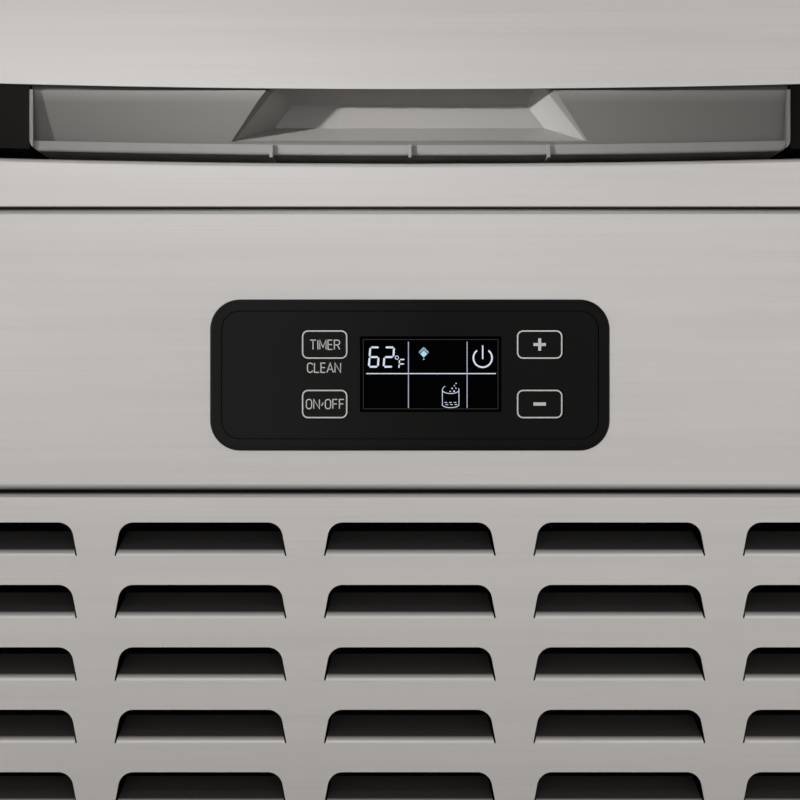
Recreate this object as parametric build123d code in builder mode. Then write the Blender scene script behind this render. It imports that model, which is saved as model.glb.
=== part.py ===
"""A free-standing ice cube maker: insulated bin behind a tilt-up door, with the refrigeration below.

Frame: millimetres, +Z up, front towards -Y, +X to the right seen from the front, and the origin on
the floor under the middle of the machine.
"""

import math
import os

from build123d import *

# ---- cabinet ------------------------------------------------------------------------------------
WIDTH = 404.0
HEIGHT = 800.0
FRONT_Y = -190.0  # face of the front panels
REAR_Y = 178.0  # outer face of the rear panel
REAR_REACH = 192.5  # how far the rear fittings stand out, the same as the display does in front
SHEET = 1.0
FRAME_SHEET = 1.2  # the unseen pan and deck
BEND = 1.6  # outside radius of a folded sheet edge
SOFT_BEND, SHARP_BEND = 2.6, 0.4  # the control and louvre panels' edges; the sill rail's lower edge
SEAM = 0.5

SIDE_IN = WIDTH / 2 - SHEET
PANEL_HALF = SIDE_IN - SEAM
RETURN, DEEP_RETURN = 18.0, 38.0  # how far the front panels' edges fold back

BASE_Z = 46.0
PAN_Z = BASE_Z + SHEET
PAN_LIP = 15.0
LOUVER_Z = (49.0, 261.3)
CONTROL_Z = (261.6, 364.65)
RAIL_Z = (364.95, 380.9)
DECK_Z = 283.0
DOOR_Z = (383.8, 742.0)
HEADER_Z = (750.0, 789.5)
TOP_Z = 790.0
SAG_RADIUS = 5522.0  # the sill's top edge and the door's bottom edge dip along this arc
SAG_STEPS = 14

REAR_FRAME_Y = REAR_Y - 2.0  # where the pan, the deck and the foam end, inside the rear panel
SCREW_HOLE_R = 2.2
REAR_SCREW_X = WIDTH / 2 - 7.0
REAR_SCREWS = [(x, z) for x in (-REAR_SCREW_X, REAR_SCREW_X) for z in (60, 230, 410, 590, 775)]
REAR_SCREWS += [(x, 775) for x in (-90, 90)]
SEAM_SCREW_X, SEAM_SCREW_Y = (-145.6, 145.6), -181.0
SEAM_SCREW_R, SEAM_SCREW_LENGTH = 3.0, 16.3

LOUVER_COLUMNS, LOUVER_ROWS = 5, 8
LOUVER_PITCH_X, LOUVER_PITCH_Z = 76.15, 22.7
LOUVER_WIDTH, LOUVER_TOP_WIDTH, LOUVER_HEIGHT = 62.6, 58.0, 12.15
LOUVER_CORNER = 5.5
LOUVER_TOP_HINGE_Z = 238.05  # where the highest row's tongues bend
TONGUE_LENGTH, TONGUE_ANGLE = 9.6, 55.0
TONGUE_BEND, TONGUE_SLIT = 2.0, 0.6

# ---- display ------------------------------------------------------------------------------------
BEZEL = (145.0, 54.9, 11.0)
BEZEL_Z = 303.75
BEZEL_PROUD = 2.5
RIM = 4.2
SKIRT, SKIRT_WALL = (137.0, 47.0, 8.0), 1.5  # the bezel's collar behind the control panel
LCD = (51.2, 27.5)
LCD_AT = (7.5, 0.3)
KEY = (16.9, 10.8, 2.4)
KEY_LEFT_X, KEY_RIGHT_X = -30.85, 47.1
KEY_HIGH_Z, KEY_LOW_Z = 11.0, -10.5
KEY_GAP = 0.15
KEY_TRAVEL = 0.6
KEY_DEPTH = 3.2
KEYS = {"key_timer": (KEY_LEFT_X, KEY_HIGH_Z), "key_on_off": (KEY_LEFT_X, KEY_LOW_Z),
        "key_plus": (KEY_RIGHT_X, KEY_HIGH_Z), "key_minus": (KEY_RIGHT_X, KEY_LOW_Z)}
DISPLAY_FACE_Y = FRONT_Y - BEZEL_PROUD + 0.3
PLATE_Y = DISPLAY_FACE_Y + 0.9  # the bezel's plate behind the overlay
LCD_BACK_Y = -184.0
BOARD_Y = -181.0
BOARD_CORNER = 7.0
SWITCH, SWITCH_STEM = 2.6, 0.8  # how far a key's switch and its stem stand off the board

# ---- door ---------------------------------------------------------------------------------------
PIVOT_Y, PIVOT_Z = -172.0, 727.0
PIN_R, PIN_GAP = 4.0, 0.08
DOOR_HALF = 197.0
DOOR_BACK_Y = -158.0
DOOR_LINER_HALF, DOOR_LINER_Z = 176.0, (402.0, 714.0)
DOOR_BULGE_HALF, DOOR_BULGE_Z, DOOR_BULGE = 146.0, (424.0, 700.0), 16.0
DOOR_CAVITY_HALF, DOOR_CAVITY_Z = 172.0, (418.0, 706.0)
GRIP_HALF, GRIP_HEIGHT, GRIP_DEPTH = 138.3, 24.0, 22.0
GRIP_LIP, GRIP_INSET, GRIP_RIM = 3.7, 0.9, 1.2
GRIP_RIBS_X = (-50.5, 0, 50.5)
GRIP_TOP_Z = DOOR_Z[0] + GRIP_HEIGHT - 0.2

# ---- ice bin and ice making ---------------------------------------------------------------------
LINER_X, LINER_Y, LINER_Z = 176.0, (-150.0, 152.0), (302.0, 768.0)
LINER_WALL = 2.5
LINER_CORNER = 18.0
MOUTH_X, MOUTH_Z = 168.0, (406.0, 710.0)
EVAPORATOR_HALF, EVAPORATOR_Z, EVAPORATOR_Y = 112.0, (585.0, 725.0), (96.0, 118.0)
COIL_Y, COIL_R, COIL_Z = 122.8, 4.0, (604.0, 706.0)
COIL_END_X = -120.0
CURTAIN_Y, CURTAIN_Z, CURTAIN_PIN_R = 76.0, 736.0, 3.0
SHOWER_Y, SHOWER_Z, SHOWER_R = 104.0, 742.0, 9.0  # the water distributor's pipe
TROUGH_X, TROUGH_Y, TROUGH_Z = 165.0, (62.0, 148.0), (505.0, 550.0)
TROUGH_FLOOR = TROUGH_Z[0] + LINER_WALL
PUMP = (142.0, 100.0)
PUMP_OUTLET_Z = TROUGH_FLOOR + 9.0

# ---- pipework and refrigeration -----------------------------------------------------------------
CHASE_X = (-170.0, -110.0)  # the service channel in the rear foam
CHASE_Y = 164.0
WATER_LINE_X, LIQUID_LINE_X, SUCTION_LINE_X = -118.0, -133.0, -150.0
WATER_LINE_R, LIQUID_LINE_R, SUCTION_LINE_R = 4.5, 2.5, 5.0
FILL_Z = 575.0
REAR_PASSES = [(WATER_LINE_X, FILL_Z, WATER_LINE_R), (LIQUID_LINE_X, COIL_Z[0], LIQUID_LINE_R),
               (SUCTION_LINE_X, COIL_Z[1], SUCTION_LINE_R)]
JOINT_GAP = 0.2  # between one pipe's end and the next

DRAIN = (-90.0, 110.0)
DRAIN_OUT_Z = 110.0
DRAIN_PIPE_R, DRAIN_SPIGOT_R, DRAIN_BORE_R, DRAIN_SPIGOT = 8.6, 9.0, 7.2, 15.0
DRAIN_HOLE_R = 9.6

COMPRESSOR = (90.0, 35.0)
COMPRESSOR_R = 64.0
COMPRESSOR_FOOT_Z = PAN_Z + 13.0
COMPRESSOR_FEET = [(x, y) for x in (-74, 74) for y in (-42, 42)]
FOOT_PLATE = 3.2
STUB_REACH, STUB_Z = COMPRESSOR_R + 10.0, 150.0  # the compressor's pipe stubs

CONDENSER_X, CONDENSER_Y, CONDENSER_Z = (-146.0, 88.0), -142.0, (66.0, 252.0)
CONDENSER_TUBE_R = 4.0
CONDENSER_TUBE_Z = [84 + 30 * number for number in range(6)]
CONDENSER_END_X = 110.0
FAN = (-30.0, 159.0)
FAN_R = 78.0
FAN_STRAP_Y = (-84.0, -81.0)
FAN_SHAFT_R = 2.5
DRIER_X, DRIER_Y = 150.0, (-118.0, -30.0)
HOT_GAS_VALVE = (132.0, -29.0, 244.0)

# ---- water, mains and feet ----------------------------------------------------------------------
WATER_VALVE = (-40.0, 110.0)
WATER_THREAD_R = 13.2
POWER_INLET = (150.0, 100.0)
SOCKET = (24.0, 16.0)
FOOT_X, FOOT_Y = 165.0, (-140.0, 140.0)
FOOT_STEM_R = 5.0
FOOT_NUT_R = 9.5

os.makedirs("parts", exist_ok=True)
saved = []


def save(builder, name):
    """Labels a finished piece and writes its STEP file."""
    builder.part.label = name
    export_step(builder.part, f"parts/{name}.step")
    saved.append(name)


# ---- shapes that several pieces share -----------------------------------------------------------
def block(x, y, z, mode=Mode.ADD):
    """A box between (low, high) limits on each axis, in the part being built."""
    with Locations(((x[0] + x[1]) / 2, (y[0] + y[1]) / 2, (z[0] + z[1]) / 2)):
        Box(x[1] - x[0], y[1] - y[0], z[1] - z[0], mode=mode)


def rod(x, y, z, radius, axis="Z", mode=Mode.ADD):
    """A cylinder along one axis: the two across it are single numbers, the one along it (low, high)."""
    turn = {"X": (0, 90, 0), "Y": (90, 0, 0), "Z": (0, 0, 0)}[axis]
    span = {"X": x, "Y": y, "Z": z}[axis]
    middle = [sum(v) / 2 if isinstance(v, tuple) else v for v in (x, y, z)]
    with Locations(Location(tuple(middle), turn)):
        Cylinder(radius, span[1] - span[0], mode=mode)


def about(middle, reach):
    """The (low, high) limits this far to either side of a place."""
    return (middle - reach, middle + reach)


def both_sides(inner, outer):
    """The limits between two distances from the middle plane, on the left and on the right."""
    return [(-outer, -inner), (inner, outer)]


def facing(y):
    """The plane at this depth seen from the front: X to the right, Z up, normal towards the viewer."""
    return Plane(origin=(0, y, 0), x_dir=(1, 0, 0), z_dir=(0, -1, 0))


def tube(points, radius, bend):
    """A round tube through these points with bends of one radius."""
    with BuildPart() as piece:
        with BuildLine() as path:
            FilletPolyline(*points, radius=bend)
        with BuildSketch(Plane(origin=path.line @ 0, z_dir=path.line % 0)):
            Circle(radius)
        sweep(path=path.line)
    return piece


def open_pan(x_half, z, depth, bend=BEND):
    """A front panel: a sheet with its four edges folded back, open behind."""
    block((-x_half, x_half), (FRONT_Y, FRONT_Y + depth), z)
    fillet(faces().sort_by(Axis.Y)[0].edges(), radius=bend)
    block((-x_half + SHEET, x_half - SHEET), (FRONT_Y + SHEET, FRONT_Y + depth + 1),
          (z[0] + SHEET, z[1] - SHEET), mode=Mode.SUBTRACT)


def sag_rise(x):
    """How much higher the sill's arc is here than at the middle of the machine."""
    return SAG_RADIUS - math.sqrt(SAG_RADIUS**2 - x**2)


def sagging_outline(half, low, high, sag_low=False):
    """An outline from low to high whose top (or bottom) edge is a chain of arcs along the sill's arc."""
    dipping, straight = (low, high) if sag_low else (high, low)
    ends = [half * (2 * step / SAG_STEPS - 1) for step in range(SAG_STEPS + 1)]
    for left, right in zip(ends, ends[1:]):
        ThreePointArc(*[(x, dipping + sag_rise(x)) for x in (left, (left + right) / 2, right)])
    corner = dipping + sag_rise(half)
    Polyline((-half, corner), (-half, straight), (half, straight), (half, corner))


def door_profile(half, low, high, y_front, y_back):
    """A slab of the door's outline, whose bottom edge dips along the sill's arc."""
    with BuildSketch(facing(y_front)) as outline:
        with BuildLine():
            sagging_outline(half, low, high, sag_low=True)
        make_face()
    extrude(outline.sketch, amount=y_front - y_back)


# ---- cabinet ------------------------------------------------------------------------------------
def make_base_pan():
    front, corner = -170.0, 4.0
    nut = 8.0
    with BuildPart() as pan:
        block((-PANEL_HALF, PANEL_HALF), (front, REAR_FRAME_Y), (PAN_Z, PAN_Z + PAN_LIP))
        fillet(pan.edges().filter_by(Axis.Z), radius=corner)
        block((-PANEL_HALF + FRAME_SHEET, PANEL_HALF - FRAME_SHEET),
              (front + FRAME_SHEET, REAR_FRAME_Y - FRAME_SHEET),
              (PAN_Z + FRAME_SHEET, PAN_Z + PAN_LIP + 1), mode=Mode.SUBTRACT)
        for x in (-FOOT_X, FOOT_X):
            for y in FOOT_Y:
                with BuildSketch(Plane.XY.offset(PAN_Z + FRAME_SHEET)):
                    with Locations((x, y)):
                        RegularPolygon(FOOT_NUT_R, 6)
                extrude(amount=nut)
                rod(x, y, (PAN_Z - 1, PAN_Z + nut + 2), FOOT_STEM_R + 0.2, mode=Mode.SUBTRACT)
        for x, z in REAR_SCREWS[::5]:
            rod(x, (REAR_Y - 9, REAR_Y), z, SCREW_HOLE_R, "Y", Mode.SUBTRACT)
    save(pan, "base_pan")


def make_side_panel(side, name):
    fold, toe, header_room = 12.0, 5.0, 45.0
    outer, inner = side * WIDTH / 2, side * SIDE_IN
    back = REAR_Y - SHEET
    folded = tuple(sorted((inner, inner - side * fold)))
    with BuildPart() as panel:
        block(tuple(sorted((inner, outer))), (FRONT_Y, back), (BASE_Z, TOP_Z))
        block(folded, (back - SHEET, back), (BASE_Z, TOP_Z))
        block(folded, (FRONT_Y + toe, back), (BASE_Z, BASE_Z + SHEET))
        block(folded, (FRONT_Y + header_room, back), (TOP_Z - SHEET, TOP_Z))
        for x, z in REAR_SCREWS:
            rod(x, (REAR_Y - 4, REAR_Y), z, SCREW_HOLE_R, "Y", Mode.SUBTRACT)
    save(panel, name)


def make_top_cover():
    round_over, corner = 3.0, 2.0
    with BuildPart() as cover:
        block((-WIDTH / 2, WIDTH / 2), (FRONT_Y, REAR_Y), (TOP_Z, HEIGHT))
        fillet(cover.faces().sort_by(Axis.Z)[-1].edges(), radius=round_over)
        fillet(cover.edges().filter_by(Axis.Z).filter_by_position(Axis.Y, FRONT_Y - 1, FRONT_Y + 4),
               radius=corner)
        block((-SIDE_IN, SIDE_IN), (FRONT_Y + SHEET, REAR_Y - SHEET), (TOP_Z - 1, HEIGHT - SHEET),
              mode=Mode.SUBTRACT)
    save(cover, "top_cover")


def make_header():
    with BuildPart() as header:
        open_pan(PANEL_HALF, HEADER_Z, DEEP_RETURN)
    save(header, "front_header")


def make_sill_rail():
    with BuildPart() as rail:
        with BuildSketch(facing(FRONT_Y)):
            with BuildLine():
                sagging_outline(PANEL_HALF, *RAIL_Z)
            make_face()
        extrude(amount=-DEEP_RETURN)
        front_edges = rail.faces().sort_by(Axis.Y)[0].edges().sort_by(Axis.Z)
        fillet(front_edges[1:], radius=BEND)
        fillet(rail.faces().sort_by(Axis.Y)[0].edges().sort_by(Axis.Z)[0], radius=SHARP_BEND)
        with BuildSketch(facing(FRONT_Y + SHEET)):
            with BuildLine():
                sagging_outline(PANEL_HALF - SHEET, RAIL_Z[0] + SHEET, RAIL_Z[1] - SHEET)
            make_face()
        extrude(amount=-DEEP_RETURN, mode=Mode.SUBTRACT)
    save(rail, "door_sill_rail")


def make_control_panel():
    opening = [size + 2 * SEAM for size in SKIRT[:2]]
    with BuildPart() as panel:
        open_pan(PANEL_HALF, CONTROL_Z, RETURN, bend=SOFT_BEND)
        with BuildSketch(facing(FRONT_Y - 1)):
            with Locations((0, BEZEL_Z)):
                RectangleRounded(*opening, SKIRT[2] + SEAM)
        extrude(amount=-4, mode=Mode.SUBTRACT)
        for x in SEAM_SCREW_X:
            rod(x, SEAM_SCREW_Y, (CONTROL_Z[0] - 1, CONTROL_Z[0] + 3), SEAM_SCREW_R + 0.1,
                mode=Mode.SUBTRACT)
    save(panel, "control_panel")


def louver_tongue():
    """One tongue bent inwards about its lower edge, standing at the front face with its hinge at z = 0."""
    angle = math.radians(TONGUE_ANGLE)
    centre_y = SHEET + TONGUE_BEND
    outer, inner = TONGUE_BEND + SHEET, TONGUE_BEND

    def at(radius, turn, along=0.0):
        return (centre_y - radius * math.cos(turn) + along * math.sin(turn),
                radius * math.sin(turn) + along * math.cos(turn))

    half = LOUVER_WIDTH / 2 - TONGUE_SLIT
    tip_half = LOUVER_TOP_WIDTH / 2 - TONGUE_SLIT
    tip_z = at(outer, angle, TONGUE_LENGTH)[1]
    with BuildPart() as tongue:
        with BuildSketch(Plane.YZ.offset(-half)):
            with BuildLine():
                ThreePointArc(at(outer, 0), at(outer, angle / 2), at(outer, angle))
                Polyline(at(outer, angle), at(outer, angle, TONGUE_LENGTH),
                         at(inner, angle, TONGUE_LENGTH), at(inner, angle))
                ThreePointArc(at(inner, angle), at(inner, angle / 2), at(inner, 0))
                Line(at(inner, 0), at(outer, 0))
            make_face()
        extrude(amount=2 * half)
        with BuildSketch(Plane.XZ):
            with BuildLine():
                Polyline((-half, 0), (half, 0), (tip_half, tip_z + 1), (-tip_half, tip_z + 1), close=True)
            make_face()
        extrude(amount=RETURN, both=True, mode=Mode.INTERSECT)
    return tongue.part


def louver_opening():
    """The outline of one opening, with its lower edge, where the tongue bends, at z = 0."""
    with BuildSketch() as opening:
        with BuildLine():
            Polyline((-LOUVER_WIDTH / 2, 0), (LOUVER_WIDTH / 2, 0), (LOUVER_TOP_WIDTH / 2, LOUVER_HEIGHT),
                     (-LOUVER_TOP_WIDTH / 2, LOUVER_HEIGHT), close=True)
        make_face()
        fillet(opening.vertices().group_by(Axis.Y)[-1], radius=LOUVER_CORNER)
    return opening.sketch


def louver_places():
    """Where each tongue's hinge is, as (x, z)."""
    half = (LOUVER_COLUMNS - 1) / 2
    return [((column - half) * LOUVER_PITCH_X, LOUVER_TOP_HINGE_Z - row * LOUVER_PITCH_Z)
            for row in range(LOUVER_ROWS) for column in range(LOUVER_COLUMNS)]


def make_louver_panel():
    tongue = louver_tongue()
    opening = louver_opening()
    with BuildPart() as panel:
        open_pan(PANEL_HALF, LOUVER_Z, RETURN, bend=SOFT_BEND)
        with BuildSketch(facing(FRONT_Y - 1)) as openings:
            with Locations(*louver_places()):
                add(opening)
        extrude(openings.sketch, amount=-3, mode=Mode.SUBTRACT)
        with Locations(*[(x, FRONT_Y, z) for x, z in louver_places()]):
            add(tongue)
        for x in SEAM_SCREW_X:
            rod(x, SEAM_SCREW_Y, (LOUVER_Z[1] - 3, LOUVER_Z[1] + 1), SEAM_SCREW_R + 0.1,
                mode=Mode.SUBTRACT)
    save(panel, "louver_panel")


def make_rear_panel():
    through = (REAR_Y - 3, REAR_Y + 3)
    slots_z, slot_pitch, slot = 205.0, (78.0, 11.0), (64.0, 5.0)
    with BuildPart() as panel:
        block((-WIDTH / 2, WIDTH / 2), (REAR_Y - SHEET, REAR_Y), (PAN_Z, TOP_Z - 0.2))
        rod(WATER_VALVE[0], through, WATER_VALVE[1], WATER_THREAD_R + 1.8, "Y", Mode.SUBTRACT)
        rod(DRAIN[0], through, DRAIN_OUT_Z, DRAIN_SPIGOT_R + 1, "Y", Mode.SUBTRACT)
        block(about(POWER_INLET[0], SOCKET[0] / 2 + 2), through, about(POWER_INLET[1], SOCKET[1] / 2 + 2.5),
              Mode.SUBTRACT)
        with BuildSketch(facing(through[1])):
            with Locations((0, slots_z)):
                with GridLocations(*slot_pitch, 4, 9):
                    SlotOverall(*slot)
        extrude(amount=6, mode=Mode.SUBTRACT)
        for x, z in REAR_SCREWS:
            rod(x, through, z, SCREW_HOLE_R, "Y", Mode.SUBTRACT)
    save(panel, "rear_panel")


def screw(x, y, z, length, axis, head=3.6, shank=2.0):
    """A round-ended, domed-head screw whose head sits on the given point; its shank runs along the signed axis."""
    way = {"+Y": (0, 1, 0), "-Y": (0, -1, 0), "-Z": (0, 0, -1)}[axis]
    rim, crown, bevel = 0.9, 2.3, math.sin(math.radians(45))
    slot, slot_floor = (head * 1.1, 0.8), 1.3
    with BuildPart() as one:
        with BuildSketch(Plane.XZ):
            with BuildLine():
                ThreePointArc((0, -length), (shank * bevel, -length + shank * (1 - bevel)),
                              (shank, -length + shank))
                Polyline((shank, -length + shank), (shank, 0), (head, 0), (head, rim))
                ThreePointArc((head, rim), (head * 0.72, 1.9), (0, crown))
                Line((0, crown), (0, -length))
            make_face()
        revolve(axis=Axis.Z)
        with BuildSketch(Plane.XY.offset(slot_floor)):
            Rectangle(*slot)
            Rectangle(*slot[::-1])
        extrude(amount=crown, mode=Mode.SUBTRACT)
    seat = Plane(origin=(x, y, z), z_dir=tuple(-step for step in way))
    return seat.location * one.part


def make_screws():
    driven = [screw(x, REAR_Y, z, 9, "-Y") for x, z in REAR_SCREWS]
    driven += [screw(x, SEAM_SCREW_Y, CONTROL_Z[0] + SHEET, SEAM_SCREW_LENGTH, "-Z", head=4.5,
                     shank=SEAM_SCREW_R) for x in SEAM_SCREW_X]
    with BuildPart() as screws:
        add(driven)
    save(screws, "panel_screws")


def make_deck():
    front, fold = -150.0, 12.0
    with BuildPart() as deck:
        block((-PANEL_HALF, PANEL_HALF), (front, REAR_FRAME_Y), (DECK_Z, DECK_Z + FRAME_SHEET))
        block((-PANEL_HALF, PANEL_HALF), (front, front + FRAME_SHEET), (DECK_Z - fold, DECK_Z))
        rod(*DRAIN, (DECK_Z - 1, DECK_Z + 3), DRAIN_HOLE_R, mode=Mode.SUBTRACT)
        block(CHASE_X, (LINER_Y[1] + 1, REAR_FRAME_Y - 1), (DECK_Z - 1, DECK_Z + 3), Mode.SUBTRACT)
    save(deck, "compartment_deck")


def make_foam():
    low, high = DECK_Z + 1.5, TOP_Z - 1.5
    half, front = 200.0, LINER_Y[0] + 2.0
    header_room, chase_top, clear = (front - 1, -100.0), 720.0, 0.2
    with BuildPart() as foam:
        block((-half, half), (front, REAR_FRAME_Y - clear), (low, high))
        block((-LINER_X - clear, LINER_X + clear), (front - 1, LINER_Y[1] + clear),
              (LINER_Z[0] - clear, LINER_Z[1] + clear), Mode.SUBTRACT)
        block((-half, half), header_room, (high - 5, high + 1), Mode.SUBTRACT)
        block(CHASE_X, (LINER_Y[1], 174), (low - 1, chase_top), Mode.SUBTRACT)
        rod(*DRAIN, (low - 1, LINER_Z[0] + 1), DRAIN_HOLE_R, mode=Mode.SUBTRACT)
        for x, z in REAR_SCREWS:
            rod(x, (REAR_Y - 12, REAR_Y), z, 3, "Y", Mode.SUBTRACT)
    save(foam, "foam_insulation")


def make_liner():
    wall = LINER_WALL
    flange_x, flange_z, flange = 200.0, (366.0, 787.0), 2.0
    mouth_corner, back_round = 14.0, 10.0
    with BuildPart() as hollow:
        block((-LINER_X + wall, LINER_X - wall), (LINER_Y[0] + wall, LINER_Y[1] - wall),
              (LINER_Z[0] + wall, LINER_Z[1] - wall))
        fillet(hollow.edges().filter_by(Axis.Y), radius=LINER_CORNER - wall)
        fillet(hollow.faces().sort_by(Axis.Y)[-1].edges(), radius=back_round)
    with BuildPart() as liner:
        block((-LINER_X, LINER_X), LINER_Y, LINER_Z)
        fillet(liner.edges().filter_by(Axis.Y), radius=LINER_CORNER)
        block((-flange_x, flange_x), (LINER_Y[0], LINER_Y[0] + flange), flange_z)
        add(hollow.part, mode=Mode.SUBTRACT)
        with BuildSketch(facing(LINER_Y[0] - 1)):
            with Locations((0, sum(MOUTH_Z) / 2)):
                RectangleRounded(2 * MOUTH_X, MOUTH_Z[1] - MOUTH_Z[0], mouth_corner)
        extrude(amount=-6, mode=Mode.SUBTRACT)
        rod(*DRAIN, (LINER_Z[0] - 1, LINER_Z[0] + wall + 1), DRAIN_HOLE_R - 0.3, mode=Mode.SUBTRACT)
        for x, z, radius in REAR_PASSES:
            rod(x, (LINER_Y[1] - 4, LINER_Y[1] + 1), z, radius + 0.4, "Y", Mode.SUBTRACT)
    save(liner, "bin_liner")


def make_bin_drain():
    floor = LINER_Z[0] + LINER_WALL
    strainer_r, strainer, hole_r = 18.0, 2.0, 1.8
    with BuildPart() as drain:
        rod(*DRAIN, (floor, floor + strainer), strainer_r)
        for ring_r, holes in ((6.2, 6), (13, 10)):
            with BuildSketch(Plane.XY.offset(floor)):
                with Locations(DRAIN):
                    with PolarLocations(ring_r, holes):
                        Circle(hole_r)
            extrude(amount=strainer, mode=Mode.SUBTRACT)
        with BuildLine() as path:
            FilletPolyline((*DRAIN, floor), (*DRAIN, DRAIN_OUT_Z), (DRAIN[0], REAR_REACH, DRAIN_OUT_Z),
                           radius=22)
        with BuildSketch(Plane.XY.offset(floor)):
            with Locations(DRAIN):
                Circle(DRAIN_PIPE_R)
                Circle(DRAIN_BORE_R, mode=Mode.SUBTRACT)
        sweep(path=path.line)
        spigot_y = (REAR_REACH - DRAIN_SPIGOT, REAR_REACH)
        rod(DRAIN[0], spigot_y, DRAIN_OUT_Z, DRAIN_SPIGOT_R, "Y")
        rod(DRAIN[0], (spigot_y[0] - 1, spigot_y[1] + 1), DRAIN_OUT_Z, DRAIN_BORE_R, "Y", Mode.SUBTRACT)
    save(drain, "bin_drain")


def make_hinge_brackets():
    plate, pin = 3.0, 13.0
    plate_y = (FRONT_Y + 2.5, -153.0)
    with BuildPart() as brackets:
        for x in both_sides(SIDE_IN - plate, SIDE_IN):
            block(x, plate_y, (PIVOT_Z - 12, HEADER_Z[0]))
        for x in both_sides(SIDE_IN - plate - pin, SIDE_IN - plate):
            rod(x, PIVOT_Y, PIVOT_Z, PIN_R, "X")
    save(brackets, "hinge_brackets")


# ---- door ---------------------------------------------------------------------------------------
def make_door_skin():
    low = DOOR_Z[0] + GRIP_HEIGHT
    fold, edge = 16.0, 4.0
    with BuildPart() as inner:
        door_profile(DOOR_HALF - SHEET, low - 5, DOOR_Z[1] - SHEET, FRONT_Y + SHEET, FRONT_Y + fold + 4)
    with BuildPart() as skin:
        door_profile(DOOR_HALF, low, DOOR_Z[1], FRONT_Y, FRONT_Y + fold)
        fillet(skin.faces().sort_by(Axis.Y)[0].edges().sort_by(Axis.Z)[SAG_STEPS:], radius=edge)
        add(inner.part, mode=Mode.SUBTRACT)
        rod((-DOOR_HALF - 1, DOOR_HALF + 1), PIVOT_Y, PIVOT_Z, PIN_R + 1.5, "X", Mode.SUBTRACT)
    save(skin, "door_skin")


def round_lower_corners(x_half, radius):
    """Rounds the two lower corners of the slab being built."""
    for x in (-x_half, x_half):
        corners = edges().filter_by(Axis.Y).filter_by_position(Axis.X, *about(x, 1))
        fillet(corners.sort_by(Axis.Z)[0], radius=radius)


def make_door_frame():
    clear = SHEET + 0.1
    half, high = DOOR_HALF - clear, DOOR_Z[1] - clear
    top_round, corner = 2.9, 3.0
    bore_depth, grip_room = 16.0, GRIP_HEIGHT + 3.0
    with BuildPart() as frame:
        door_profile(half, DOOR_Z[0] + 0.8, high, FRONT_Y + clear, DOOR_BACK_Y)
        fillet(frame.edges().filter_by(Axis.X).sort_by(Axis.Z)[-2:], radius=top_round)
        round_lower_corners(half, corner)
        block((-DOOR_CAVITY_HALF, DOOR_CAVITY_HALF), (FRONT_Y + 8, DOOR_BACK_Y + 1), DOOR_CAVITY_Z,
              Mode.SUBTRACT)
        block(about(0, GRIP_HALF + 0.2), (FRONT_Y, FRONT_Y + GRIP_DEPTH + 0.2),
              (DOOR_Z[0] - 3, DOOR_Z[0] + grip_room), Mode.SUBTRACT)
        for x in both_sides(half - bore_depth, half + 1):
            rod(x, PIVOT_Y, PIVOT_Z, PIN_R + PIN_GAP, "X", Mode.SUBTRACT)
    save(frame, "door_frame")


def grip_slab(y_front, y_back):
    """The grip's outline between two depths, with its lower corners rounded."""
    door_profile(GRIP_HALF, DOOR_Z[0], GRIP_TOP_Z, y_front, y_back)
    round_lower_corners(GRIP_HALF, 4.0)


def make_door_grip():
    low = DOOR_Z[0]
    lip_edge, rib_proud, rib_depth = 1.0, 0.8, 12.0
    ridge_y, brow_y = FRONT_Y + 3.7, FRONT_Y + 0.8  # above the lip the face leans out towards its top
    scoop_y, scoop_z, scoop_half = FRONT_Y + 1.8, low + 4.3, 67.8
    scoop_depth, scoop_slope, scoop_lean = 12.0, 35, 20.0
    cavity_y = (FRONT_Y + 16, FRONT_Y + GRIP_DEPTH - 2)

    with BuildPart() as above_lip:
        door_profile(GRIP_HALF - GRIP_RIM, low + GRIP_LIP, GRIP_TOP_Z + 3, FRONT_Y - 1, FRONT_Y + 8)
        with BuildSketch(Plane.YZ) as section:
            with BuildLine():
                Polyline((FRONT_Y - 2, low), (ridge_y, low), (ridge_y, low + GRIP_LIP),
                         (brow_y, GRIP_TOP_Z + 4), (FRONT_Y - 2, GRIP_TOP_Z + 4), close=True)
            make_face()
        extrude(section.sketch, amount=GRIP_HALF, both=True, mode=Mode.INTERSECT)
    with BuildPart() as rim:
        grip_slab(FRONT_Y, FRONT_Y + 4)
        block(about(0, GRIP_HALF - GRIP_RIM), (FRONT_Y - 1, FRONT_Y + 5), (low - 3, GRIP_TOP_Z + 3),
              Mode.SUBTRACT)
    with BuildPart() as grip:
        grip_slab(FRONT_Y + GRIP_INSET, FRONT_Y + GRIP_DEPTH)
        block(about(0, GRIP_HALF), (FRONT_Y + 3, FRONT_Y + GRIP_DEPTH), (GRIP_TOP_Z - 1, GRIP_TOP_Z + 3))
        fillet(grip.faces().sort_by(Axis.Y)[0].edges().sort_by(Axis.Z)[:SAG_STEPS], radius=lip_edge)
        add(above_lip.part, mode=Mode.SUBTRACT)
        with BuildSketch(facing(scoop_y)) as scoop:
            with BuildLine():
                Polyline((-scoop_half, scoop_z), (scoop_half, scoop_z),
                         (scoop_half - scoop_lean, GRIP_TOP_Z + 6), (scoop_lean - scoop_half, GRIP_TOP_Z + 6),
                         close=True)
            make_face()
        extrude(scoop.sketch, amount=-scoop_depth, taper=scoop_slope, mode=Mode.SUBTRACT)
        extrude(scoop.sketch, amount=4, mode=Mode.SUBTRACT)
        block(about(0, GRIP_HALF - 3), cavity_y, (low + 4, GRIP_TOP_Z + 4), Mode.SUBTRACT)
        for x in GRIP_RIBS_X:
            block(about(x, GRIP_RIM / 2), (FRONT_Y, FRONT_Y + rib_depth), (low - rib_proud, low + GRIP_LIP))
        add(rim.part)
    save(grip, "door_grip")


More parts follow.
